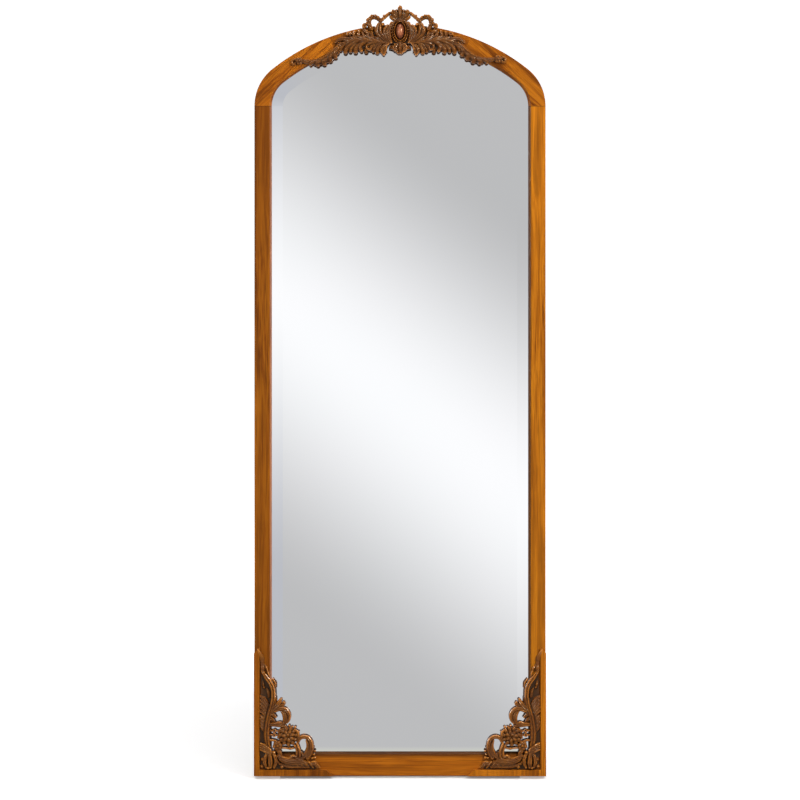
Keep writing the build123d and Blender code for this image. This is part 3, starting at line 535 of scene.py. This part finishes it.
    # Bell flower in the corner, among balls
    bell = (
        ([(36, 58), (28, 47), (25, 33), (29, 21.5)], [3, 4.2, 4.6, 3.6], 13.5),
        ([(41, 57), (49, 47), (52, 34), (47, 21.5)], [3, 4.2, 4.6, 3.6], 13.5),
        ([(38, 58), (37.5, 45), (38.5, 31), (38, 22)], [3, 5.2, 5.8, 4.8], 15),
    )
    for line, width, top in bell:
        r.fluted(line, width, [top - 2, top, top, top - 3], 1.8, drop=0.95)
    for u, v, size, high in ((21.6, 39.4, 5.2, 11.5), (19.6, 23.5, 4.6, 9), (33, 19.5, 3.6, 15),
                             (46.5, 55.3, 4.6, 15), (57, 33, 4, 10)):
        r.dome((u, v), (size, size), 3, high)
    return r


# ---- Materials -----------------------------------------------------

HONEY = ((0.138, 0.032, 0.0012), (0.296, 0.076, 0.0025), (0.440, 0.132, 0.0050))
BEECH = ((0.30, 0.17, 0.08), (0.42, 0.26, 0.13), (0.52, 0.34, 0.18))
# Dark joints, and painted shade along the right stile's and the rail's inner edges
UMBER_FOR_JOINTS_AND_SHADE = (0.030, 0.012, 0.004)
# Painted highlight on the left stile's inner slope
SLOPE_HIGHLIGHT_ROSE = (0.62, 0.30, 0.20)
# Painted shade on the upper left stile
LEFT_TOP_SHADE_COLOUR = (0.120, 0.026, 0.001)
# Painted shade in the carvings' hollows
RECESS_SHADE_COLOUR = (0.0300, 0.0085, 0.0018)
# Painted highlight on the carvings' ridges, golden
RIDGE_HIGHLIGHT_COLOUR = (0.70, 0.255, 0.042)
# Painted shade that darkens the whole crest
CREST_SHADE_COLOUR = (0.024, 0.0068, 0.0014)
WORN_RADIUS = 0.0014  # how far from an edge of the wood handling shows
CREST_SHADE_SHARE = 0.30  # painted shade: how much darker than the corners the whole crest is made
SIGHT_SLOPE = 0.005  # width of the slope round the glass


class Nodes:
    """Short calls for building a node tree."""

    def __init__(self, owner):
        owner.use_nodes = True
        self.tree = owner.node_tree

    def node(self, kind, inputs=(), **settings):
        made = self.tree.nodes.new(kind)
        for key, value in settings.items():
            setattr(made, key, value)
        for key, value in dict(inputs).items():
            self.feed(made.inputs[key], value)
        return made

    def feed(self, socket, value):
        if isinstance(value, bpy.types.NodeSocket):
            self.tree.links.new(value, socket)
        else:
            socket.default_value = value

    def place(self, turn=(0, 0, 0), scale=(1, 1, 1)):
        """Coordinates in the object's own axes, turned and stretched."""
        where = self.node("ShaderNodeTexCoord").outputs["Object"]
        turned = self.node("ShaderNodeMapping", {"Vector": where, "Rotation": turn})
        stretched = self.node("ShaderNodeMapping", {"Vector": turned.outputs[0], "Scale": scale})
        return stretched.outputs[0]

    def noise(self, where, scale, detail=4.0, rough=0.55, warp=0.0):
        made = self.node("ShaderNodeTexNoise", {"Vector": where, "Scale": scale, "Detail": detail,
                                                "Roughness": rough, "Distortion": warp})
        return made.outputs["Fac"]

    def ramp(self, value, stops):
        made = self.node("ShaderNodeValToRGB", {"Fac": value})
        ends = made.color_ramp.elements
        while len(ends) < len(stops):
            ends.new(0.5)
        for end, (at, colour) in zip(ends, stops):
            end.position = at
            end.color = (*colour, 1)
        return made.outputs["Color"]

    def span(self, value, low, high, to_low=0.0, to_high=1.0, kind="LINEAR"):
        made = self.node("ShaderNodeMapRange", {"Value": value, "From Min": low, "From Max": high,
                                                "To Min": to_low, "To Max": to_high},
                         interpolation_type=kind)
        return made.outputs["Result"]

    def vector(self, kind, a, b=None, out="Vector"):
        inputs = {0: a} if b is None else {0: a, 1: b}
        return self.node("ShaderNodeVectorMath", inputs, operation=kind).outputs[out]

    def split(self, vector):
        return self.node("ShaderNodeSeparateXYZ", {0: vector}).outputs

    def math(self, kind, a, b=0.0):
        made = self.node("ShaderNodeMath", operation=kind)
        self.feed(made.inputs[0], a)
        self.feed(made.inputs[1], b)
        return made.outputs[0]

    def mix(self, share, a, b):
        made = self.node("ShaderNodeMix", data_type="RGBA")
        self.feed(made.inputs[0], share)
        for socket, value in ((made.inputs[6], a), (made.inputs[7], b)):
            self.feed(socket, (*value, 1) if isinstance(value, tuple) else value)
        return made.outputs[2]

    def arris(self, radius):
        """1 within this radius of a sharp edge, where handling rubs the finish, 0 elsewhere."""
        rounded = self.node("ShaderNodeBevel", {"Radius": radius}, samples=4).outputs[0]
        flat = self.node("ShaderNodeNewGeometry").outputs["Normal"]
        return self.span(self.vector("DOT_PRODUCT", rounded, flat, "Value"), 0.98, 0.80)


class Shader(Nodes):
    """A node material."""

    def __init__(self, name):
        self.material = bpy.data.materials.new(name)
        super().__init__(self.material)
        self.surface = self.tree.nodes["Principled BSDF"]

    def set(self, **values):
        for key, value in values.items():
            self.feed(self.surface.inputs[key.replace("_", " ")], value)

    def finish(self, colour, rough, height, strength, distance, **values):
        """Set colour, roughness and bump, and whatever else, and give the material."""
        made = self.node("ShaderNodeBump", {"Height": height, "Strength": strength,
                                            "Distance": distance})
        self.set(Base_Color=colour, Roughness=rough, Normal=made.outputs[0], **values)
        return self.material


def varnished_wood(name, tones, grain_turn, seed, gloss=0.3, figure=0.5, joint_and_painted_light_bands=()):
    """Straight-grained varnished wood. Its grain runs along Z after grain_turn. figure makes the
    grain wander. The bands in the last argument are of another tone along an edge, dark at the
    joints and painted highlight and painted shade elsewhere: the axis of the upright mirror, where
    the band starts and where it is full, its colour and its strength."""
    s = Shader(name)
    dark, mid, light = tones
    fibre = s.place(grain_turn, (1, 1, 0.035))
    shifted = s.vector("ADD", fibre, (seed, seed * 1.7, seed * 0.3))
    wander = s.noise(s.place(grain_turn, (1, 1, 0.16)), 11, 2, 0.5)
    bent = s.vector("ADD", s.mix(figure * 0.05, (0, 0, 0), wander), shifted)
    bands = s.noise(bent, 48, 3, 0.55, 0.5)
    streaks = s.noise(bent, 260, 5, 0.65, 0.2)
    pores = s.noise(s.place(grain_turn, (1, 1, 0.012)), 1000, 2, 0.5)
    clouds = s.noise(s.place(grain_turn, (1, 1, 0.2)), 7, 3, 0.5)
    figured = s.math("ADD", s.math("MULTIPLY", bands, 0.55), s.math("MULTIPLY", streaks, 0.45))
    tone = s.ramp(figured, ((0.425, dark), (0.50, mid), (0.575, light)))
    tone = s.mix(s.span(pores, 0.55, 0.66, 0, 0.75), tone, tuple(0.4 * c for c in dark))
    tone = s.mix(s.span(clouds, 0.38, 0.66, 0, 0.5), tone, tuple(1.15 * c for c in light))
    # Bands: dark joints, and painted highlight and painted shade along edges
    for axis, start, full, colour, strength in joint_and_painted_light_bands:
        where = s.split(s.place((LEAN, 0, 0)))[axis]
        tone = s.mix(s.span(where, start, full, 0, strength), tone, colour)
    wear = s.math("MULTIPLY", s.arris(WORN_RADIUS), s.span(clouds, 0.3, 0.6, 0.15, 0.5))
    tone = s.mix(wear, tone, tuple(1.25 * c for c in light))
    grain = s.math("SUBTRACT", s.math("MULTIPLY", streaks, 0.5), s.math("MULTIPLY", pores, 0.6))
    return s.finish(tone, s.span(streaks, 0.3, 0.7, gloss, gloss + 0.16), grain, 0.3, 0.0006,
                    Specular_IOR_Level=0.06, Coat_Weight=0.06, Coat_Roughness=0.12, Coat_IOR=1.45)


def carved_wood(name, depth):
    """Glossy red-brown carved wood. Its hollows are darkened with painted shade and its ridges
    lightened with a golden painted highlight, both read from the tone. The crest's oval boss is
    copper red, with a painted highlight at its middle and painted shade at its rim. depth is how
    far the whole piece is darkened as painted shade."""
    s = Shader(name)
    tone = s.node("ShaderNodeAttribute", attribute_name="tone").outputs["Fac"]
    fibre = s.noise(s.place((LEAN, 0, 0), (0.12, 1, 1)), 240, 4, 0.6, 0.2)
    cloud = s.noise(s.place(), 34, 3, 0.5)
    body = s.ramp(fibre, ((0.3, (0.115, 0.030, 0.0040)), (0.5, (0.190, 0.054, 0.0075)),
                          (0.7, (0.28, 0.088, 0.013))))
    body = s.mix(s.span(cloud, 0.42, 0.66, 0, 0.6), body, (0.36, 0.118, 0.010))
    # 0 at the middle of the oval boss, 1 on its outline
    middle = (0, CARVED_BACK, CREST_TOP - BOSS_DROP)
    shares = s.vector("MULTIPLY", s.vector("SUBTRACT", s.place((LEAN, 0, 0)), middle),
                      (1 / BOSS_RADII[0], 0, 1 / BOSS_RADII[1]))
    boss = s.vector("LENGTH", shares, out="Value")
    # Painted shade in the hollows and painted highlight on the ridges, both from the tone
    recess_shade_share = s.span(tone, -2.1, 1.3, 1, 0)
    ridge_highlight_share = s.span(tone, 1.3, 4.0, 0, 1)
    shade = s.mix(recess_shade_share, body, RECESS_SHADE_COLOUR)
    # Painted highlight: the ridges are lightened golden
    shade = s.mix(s.math("MULTIPLY", ridge_highlight_share, 0.8), shade, RIDGE_HIGHLIGHT_COLOUR)
    # Painted shade over the whole piece, by depth
    shade = s.mix(depth, shade, CREST_SHADE_COLOUR)
    # Copper red boss, with a painted highlight at its middle and painted shade towards its rim
    copper_with_painted_light = s.ramp(boss, ((0.1, (0.46, 0.165, 0.080)), (0.55, (0.27, 0.075, 0.030)),
                           (0.95, (0.075, 0.018, 0.007))))
    shade = s.mix(s.span(boss, 0.92, 1.02, 1, 0), shade, copper_with_painted_light)
    chatter = s.noise(s.place(), 300, 3, 0.5)
    height = s.math("ADD", s.math("MULTIPLY", fibre, 0.4), chatter)
    return s.finish(shade, s.span(recess_shade_share, 0, 1, 0.20, 0.5), height, 0.08, 0.0006,
                    Specular_IOR_Level=0.45, Specular_Tint=(1.0, 0.68, 0.38, 1), Coat_Weight=0.16,
                    Coat_Roughness=0.07, Coat_IOR=1.5)


def silvered_glass():
    """Mirror: a silvered surface with a faint cool tint and the least unevenness."""
    s = Shader("silvered_glass")
    wave = s.noise(s.place(), 3.0, 2, 0.4)
    tint = s.ramp(wave, ((0.35, (0.955, 0.962, 0.965)), (0.65, (0.965, 0.965, 0.970))))
    return s.finish(tint, s.span(wave, 0.3, 0.7, 0.0, 0.006), wave, 0.02, 0.0002, Metallic=1.0)


def cast_metal(name, dark, light, rough):
    """Brushed and slightly tarnished metal."""
    s = Shader(name)
    brush = s.noise(s.place((0, 0, 0), (0.05, 1, 1)), 2200, 3, 0.6)
    age = s.noise(s.place(), 160, 4, 0.6)
    tone = s.ramp(age, ((0.3, dark), (0.7, light)))
    return s.finish(tone, s.span(brush, 0.3, 0.7, rough, rough + 0.2), brush, 0.15, 0.0001,
                    Metallic=1.0)


def rubber():
    s = Shader("grey_rubber")
    dust = s.noise(s.place(), 320, 4, 0.6)
    tone = s.ramp(dust, ((0.35, (0.16, 0.155, 0.15)), (0.75, (0.24, 0.235, 0.23))))
    return s.finish(tone, s.span(dust, 0.3, 0.7, 0.6, 0.8), dust, 0.3, 0.0003)


def felt(name, dark, light, scale, bump):
    s = Shader(name)
    wool = s.noise(s.place(), scale, 5, 0.7)
    return s.finish(s.ramp(wool, ((0.3, dark), (0.7, light))), 0.95, wool, bump, 0.0004)


def foam():
    s = Shader("white_foam")
    pores = s.node("ShaderNodeTexVoronoi", {"Vector": s.place(), "Scale": 700.0})
    cell = pores.outputs["Distance"]
    tone = s.ramp(cell, ((0.1, (0.62, 0.62, 0.60)), (0.6, (0.80, 0.80, 0.78))))
    return s.finish(tone, 0.8, cell, 0.4, 0.0004)


def hardboard():
    """Brown pressed board with fine fibres, a little scuffed."""
    s = Shader("brown_hardboard")
    fibre = s.noise(s.place(), 900, 5, 0.7, 0.6)
    cloud = s.noise(s.place(), 9, 4, 0.55)
    tone = s.ramp(fibre, ((0.32, (0.050, 0.024, 0.010)), (0.5, (0.085, 0.043, 0.018)),
                          (0.7, (0.135, 0.072, 0.032))))
    tone = s.mix(s.span(cloud, 0.35, 0.7, 0, 0.35), tone, (0.16, 0.085, 0.036))
    return s.finish(tone, s.span(cloud, 0.3, 0.7, 0.42, 0.6), fibre, 0.3, 0.0004)


def dress(names, material):
    for name in names:
        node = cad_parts[name]
        node.data.materials.clear()
        node.data.materials.append(material)


def tinted(share, green=1.0):
    """The honey tones, lighter or darker, and yellower where green is above 1."""
    return tuple((share * c[0], share * green * c[1], share * c[2]) for c in HONEY)


def dress_frame():
    """Each bar has its own board, with the grain along it and a tone of its own; the right stile
    and border are lighter and the left ones darker as painted light. Bands of another tone lie
    along the stiles' and the rail's inner edges as painted highlight and painted shade, the left
    stile darkens towards its top as painted shade, and the stiles are dark at their joints."""
    # Bands of tone, for dark joints and for painted highlight and shade: axis of the upright
    # mirror, where one starts, where it is full, colour, strength
    inner = STILE_HIGH[0]  # of the left stile
    spring = STILE_HIGH[2]
    joint = (2, spring - 0.003, spring - 0.0005, UMBER_FOR_JOINTS_AND_SHADE, 0.7)
    # Painted highlight: the left stile's inner slope is made rose-light
    left_slope_highlight = (0, inner - 0.0038, inner - 0.0026, SLOPE_HIGHLIGHT_ROSE, 0.42)
    # Painted shade on the right stile's inner slope
    right_slope_shade = (0, -inner + SIGHT_SLOPE + 0.0015, -inner + SIGHT_SLOPE - 0.0005, UMBER_FOR_JOINTS_AND_SHADE, 0.75)
    # Painted shade along the top edge of the bottom rail and its slope
    rail_slope_shade = (2, RAIL_TOP - 0.015, RAIL_TOP - 0.004, UMBER_FOR_JOINTS_AND_SHADE, 0.85)
    # Painted shade: the left stile darkens towards its top
    left_top_shade = (2, 0.7 * spring, spring, LEFT_TOP_SHADE_COLOUR, 0.45)
    # The turn about the mirror's face that brings the grain onto Z, in degrees, then tone, green,
    # seed, figure and bands. The tones hold painted light from the right: the right stile and
    # border are lighter than the left ones.
    boards = {
        "left_stile": (0, 0.80, 1.0, 0.0, 0.5, (left_slope_highlight, joint, left_top_shade)),
        "right_stile": (0, 1.21, 1.10, 3.1, 0.5, (right_slope_shade, joint)),
        "bottom_rail": (90, 1.12, 0.97, 5.7, 1.2, (rail_slope_shade,)),
        "left_haunch": (-47, 1.12, 1.0, 9.7, 1.2, ()),
        "right_haunch": (47, 1.02, 1.04, 11.9, 1.2, ()),
        "crown_segment": (90, 0.95, 1.0, 14.4, 1.0, ()),
        "left_corner_border": (0, 0.95, 1.0, 17.3, 0.5, ()),
        "right_corner_border": (0, 1.24, 1.04, 19.8, 0.5, ()),
    }
    for name, (degrees, share, green, seed, figure, joint_and_painted_light_bands) in boards.items():
        turn = (LEAN, math.radians(degrees), 0)
        dress([name], varnished_wood(f"honey_wood_{name}", tinted(share, green), turn, seed,
                                     figure=figure, joint_and_painted_light_bands=joint_and_painted_light_bands))


def dress_hidden():
    """The strut, the hinges, the glass and what is packed behind it."""
    legs = varnished_wood("strut_wood", tinted(0.8), (-STRUT_TILT, 0, 0), 23.0, 0.4)
    rails = varnished_wood("strut_rail_wood", tinted(0.82), (0, math.radians(90), 0), 29.0, 0.4)
    bare = varnished_wood("bare_beech", BEECH, (0, 0, 0), 31.0, 0.5)
    brass = cast_metal("satin_brass", (0.42, 0.25, 0.07), (0.72, 0.47, 0.16), 0.28)
    steel = cast_metal("zinc_steel", (0.38, 0.38, 0.37), (0.62, 0.62, 0.60), 0.3)
    dress(["left_strut_leg", "right_strut_leg"], legs)
    dress(["hinge_batten", "strut_top_rail", "strut_middle_rail", "strut_foot_rail"], rails)
    dress(["joint_tenons", "strut_tenons"], bare)
    hinges = [f"{hand}_hinge_{part}" for hand in ("left", "right")
              for part in ("batten_leaf", "pin", "strut_leaf")]
    dress([*hinges, "batten_leaf_screws", "strut_leaf_screws"], brass)
    dress(["back_panel_screws", "crest_screws", "batten_screws"], steel)
    dress(["left_strut_foot", "right_strut_foot", "setting_blocks"], rubber())
    dress(["base_strip"], felt("pale_felt", (0.66, 0.64, 0.63), (0.86, 0.84, 0.83), 1300, 0.5))
    black = felt("black_felt", (0.008, 0.007, 0.007), (0.04, 0.036, 0.033), 1500, 0.6)
    dress(["glazing_felt"], black)
    dress(["backing_foam"], foam())
    dress(["back_panel"], hardboard())
    dress(["mirror_glass"], silvered_glass())


# ---- Ornaments in place --------------------------------------------


def place_ornaments():
    crest_finish = carved_wood("carved_crest_wood", CREST_SHADE_SHARE)
    corner_finish = carved_wood("carved_corner_wood", 0.0)
    crest = carve_crest()
    sprig = carve_sprig()
    corner = carve_corner()
    top = (0, CARVED_BACK, CREST_TOP)
    shifted = (SPRIG_SHIFT[0], CARVED_BACK, CREST_TOP + SPRIG_SHIFT[1])
    left = (BORDER_LOW[0], CARVED_BACK, BORDER_LOW[2])
    right = (-BORDER_LOW[0], CARVED_BACK, BORDER_LOW[2])
    for carving, name, origin, flip, node in (
        (crest, "crest_carved", top, False, "crest_carving"),
        (sprig, "left_sprig_carved", top, False, "left_crest_sprig"),
        (sprig, "right_sprig_carved", shifted, True, "right_crest_sprig"),
        (corner, "left_corner_carved", left, False, "left_corner_carving"),
        (corner, "right_corner_carved", right, True, "right_corner_carving"),
    ):
        piece = carving.mesh(name, origin, flip)
        piece.data.materials.append(crest_finish if "crest" in node else corner_finish)
        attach(piece, "frame")
        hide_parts(node)


# ---- Studio --------------------------------------------------------

CAMERA_DISTANCE = 9.0
CAMERA_HEIGHT = (CREST_TOP + STILE_LOW[2]) / 2 - 0.022
SENSOR = 36  # millimetres
FRAME_VIEW = 1.868  # height of the picture at the mirror
FAR_CLIP = 60
FLOOR_REACH = 60
# The floor glows a little, more so far from the lamps: radii, then strengths
FLOOR_RADII = (0.8, 3.5)
FLOOR_GLOW = (0.34, 0.78)
# The card and its band, as the glass shows them from the camera
CARD_Y = -8.8
CARD_SIDES = (-5, 5)
CARD_ENDS = (-4, 8)
CARD_GREY = (0.522, 0.524, 0.532)
CARD_BLUE = (0.512, 0.526, 0.568)  # past the left side, which only the bevel shows
CARD_CREAM = (0.66, 0.67, 0.59)  # under everything, which only the bevel's foot shows
CARD_WHITE = (1.01, 1.015, 1.03)
CARD_SPREAD = 0.62
FOOT_LIGHT = 0.007  # height of the cream on the glass
BAND_HEIGHT = 2.12
BAND_SLOPE = 0.78
BAND_REACH = 1.36
BAND_ENDS = (4.5, 2.0)  # across the card: where the band is out, and where it is full
AIR_LIGHT = 0.34  # what the air gives to the rest; the glass shows it as grey as the card
SOFT_GAIN = 2.78  # gives back what the faded borders take from a lamp's power
LAMPS = {  # place, what it aims at, size, power and colour
    "key_light": ((2.4, -2.4, 2.9), (0, 0, 0.9), (0.8, 1.2), 108, (1.0, 0.98, 0.95)),
    "fill_light": ((-3.0, -3.2, 2.2), (0, 0, 0.9), (1.2, 2.4), 50, (1, 1, 1)),
    "top_light": ((0.2, -0.9, 4.2), (0, 0.1, 1.0), (2.5, 1.2), 28, (1, 1, 1)),
    "back_light": ((-1.4, 2.6, 2.6), (0, 0.2, 0.8), (1.8, 1.8), 45, (1, 1, 1)),
}


def link(name, data):
    made = bpy.data.objects.new(name, data)
    bpy.context.scene.collection.objects.link(made)
    return made


def sheet_mesh(name, rows):
    """A surface through rows of points."""
    data = bpy.data.meshes.new(name)
    width = len(rows[0])
    faces = [(k * width + m, k * width + m + 1, (k + 1) * width + m + 1, (k + 1) * width + m)
             for k in range(len(rows) - 1) for m in range(width - 1)]
    data.from_pydata([p for row in rows for p in row], [], faces)
    data.polygons.foreach_set("use_smooth", [True] * len(faces))
    return link(name, data)


def pale_paint():
    """Pale floor, lit through a little so that it stays pale far from the lamps."""
    s = Shader("pale_floor")
    tooth = s.noise(s.place(), 30, 4, 0.6)
    s.set(Base_Color=s.ramp(tooth, ((0.3, (0.88, 0.88, 0.88)), (0.7, (0.91, 0.91, 0.91)))))
    reach = s.vector("LENGTH", s.place(), out="Value")
    glow = s.span(reach, *FLOOR_RADII, *FLOOR_GLOW, "SMOOTHSTEP")
    s.set(Roughness=0.85, Emission_Color=(1, 1, 1, 1), Emission_Strength=glow)
    return s.material


def height_on_card(height):
    """Height on the card that the camera sees in the glass's lower bevel, at this height up the
    upright mirror."""
    turn = ROW_TO_UPRIGHT.to_3x3()
    normals = [turn @ f.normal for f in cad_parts["mirror_glass"].data.polygons]
    bevel = next(n for n in normals if n.y < -0.9 and n.z < -0.02 and abs(n.x) < 0.001)
    point = Vector((0, GLASS_FRONT, height))
    ray = (point - Vector((0, CARVED_BACK - CAMERA_DISTANCE, CAMERA_HEIGHT))).normalized()
    back = UPRIGHT_TO_ROW.to_3x3() @ (ray - 2 * ray.dot(bevel) * bevel)
    start = UPRIGHT_TO_ROW @ point
    return start.z + back.z * (CARD_Y - start.y) / back.y


def band_card():
    """What the glass shows: an even grey with one soft pale band that slants down to the right."""
    s = Shader("studio_card")
    where = s.split(s.node("ShaderNodeTexCoord").outputs["Object"])
    across = s.node("ShaderNodeClamp", {"Value": where["X"], "Min": -CARD_SPREAD,
                                        "Max": CARD_SPREAD}).outputs[0]
    slant = s.math("ADD", where["Z"], s.math("MULTIPLY", across, BAND_SLOPE))
    off = s.math("ABSOLUTE", s.math("SUBTRACT", slant, BAND_HEIGHT))
    fade = s.span(off, BAND_REACH, 0.0, kind="SMOOTHSTEP")
    ends = s.span(s.math("ABSOLUTE", where["X"]), *BAND_ENDS, kind="SMOOTHSTEP")
    cool = s.span(where["X"], -CARD_SPREAD - 0.5, -CARD_SPREAD - 0.2, 1, 0)
    ground = s.mix(cool, CARD_GREY, CARD_BLUE)
    glow = s.mix(s.math("MULTIPLY", fade, ends), ground, CARD_WHITE)
    foot = height_on_card(RAIL_TOP + FOOT_LIGHT)
    below = s.span(where["Z"], foot - 0.02, foot + 0.01, 1, 0)
    above = s.span(where["Z"], foot - 0.20, foot - 0.18)
    glow = s.mix(s.math("MULTIPLY", below, above), glow, CARD_CREAM)
    light = s.node("ShaderNodeEmission", {"Color": glow, "Strength": 1.0})
    s.feed(s.tree.nodes["Material Output"].inputs["Surface"], light.outputs[0])
    return s.material


def soft_edges(lamp):
    """Fades a softbox out towards its border, so that the glass shows no hard edge of it."""
    n = Nodes(lamp)
    spot = n.split(n.node("ShaderNodeNewGeometry").outputs["Parametric"])
    across, up = (n.span(n.math("ABSOLUTE", n.math("SUBTRACT", spot[axis], 0.5)), 0.5, 0.1,
                         kind="SMOOTHSTEP") for axis in "XY")
    strength = n.math("MULTIPLY", up, n.math("MULTIPLY", across, SOFT_GAIN))
    n.feed(n.tree.nodes["Emission"].inputs["Strength"], strength)


def air():
    """White where the camera looks into it, softer as a source of light."""
    world = bpy.data.worlds.new("studio_air")
    bpy.context.scene.world = world
    n = Nodes(world)
    path = n.node("ShaderNodeLightPath").outputs
    in_glass = n.span(path["Is Glossy Ray"], 0, 1, AIR_LIGHT, CARD_GREY[0])
    background = n.tree.nodes["Background"].inputs
    n.feed(background["Strength"], n.math("MAXIMUM", path["Is Camera Ray"], in_glass))
    background["Color"].default_value = (1, 1, 1, 1)


def studio():
    edge = (-FLOOR_REACH, 0, FLOOR_REACH)
    floor = sheet_mesh("studio_floor", [[(x, y, 0) for x in edge] for y in edge])
    floor.data.materials.append(pale_paint())
    floor.visible_glossy = False
    floor.visible_diffuse = False

    # The card stands in front of the mirror, reaches below the floor, and shows only in the glass
    card = sheet_mesh("studio_card", [[(x, CARD_Y, z) for x in CARD_SIDES] for z in CARD_ENDS])
    card.data.materials.append(band_card())
    card.visible_camera = False
    card.visible_diffuse = False
    card.visible_shadow = False

    for name, (place, aim, size, power, colour) in LAMPS.items():
        data = bpy.data.lights.new(name, "AREA")
        data.shape = "RECTANGLE"
        data.size, data.size_y = size
        data.energy = power
        data.color = colour
        soft_edges(data)
        lamp = link(name, data)
        lamp.location = place
        lamp.rotation_euler = (Vector(aim) - Vector(place)).to_track_quat("-Z", "Y").to_euler()
    air()


def camera():
    """Square to the glass, in front of its middle, so that the whole height fills the picture."""
    data = bpy.data.cameras.new("camera")
    data.sensor_width = SENSOR
    data.lens = data.sensor_width * CAMERA_DISTANCE / FRAME_VIEW
    data.clip_end = FAR_CLIP
    eye = link("camera", data)
    middle = Vector((0, CARVED_BACK, CAMERA_HEIGHT))
    place = Matrix.Translation(middle + Vector((0, -CAMERA_DISTANCE, 0)))
    eye.matrix_world = UPRIGHT_TO_ROW @ (place @ Matrix.Rotation(math.radians(90), 4, "X"))
    bpy.context.scene.camera = eye


dress_frame()
dress_hidden()
place_ornaments()
studio()
camera()
bpy.context.scene.view_settings.view_transform = "Standard"
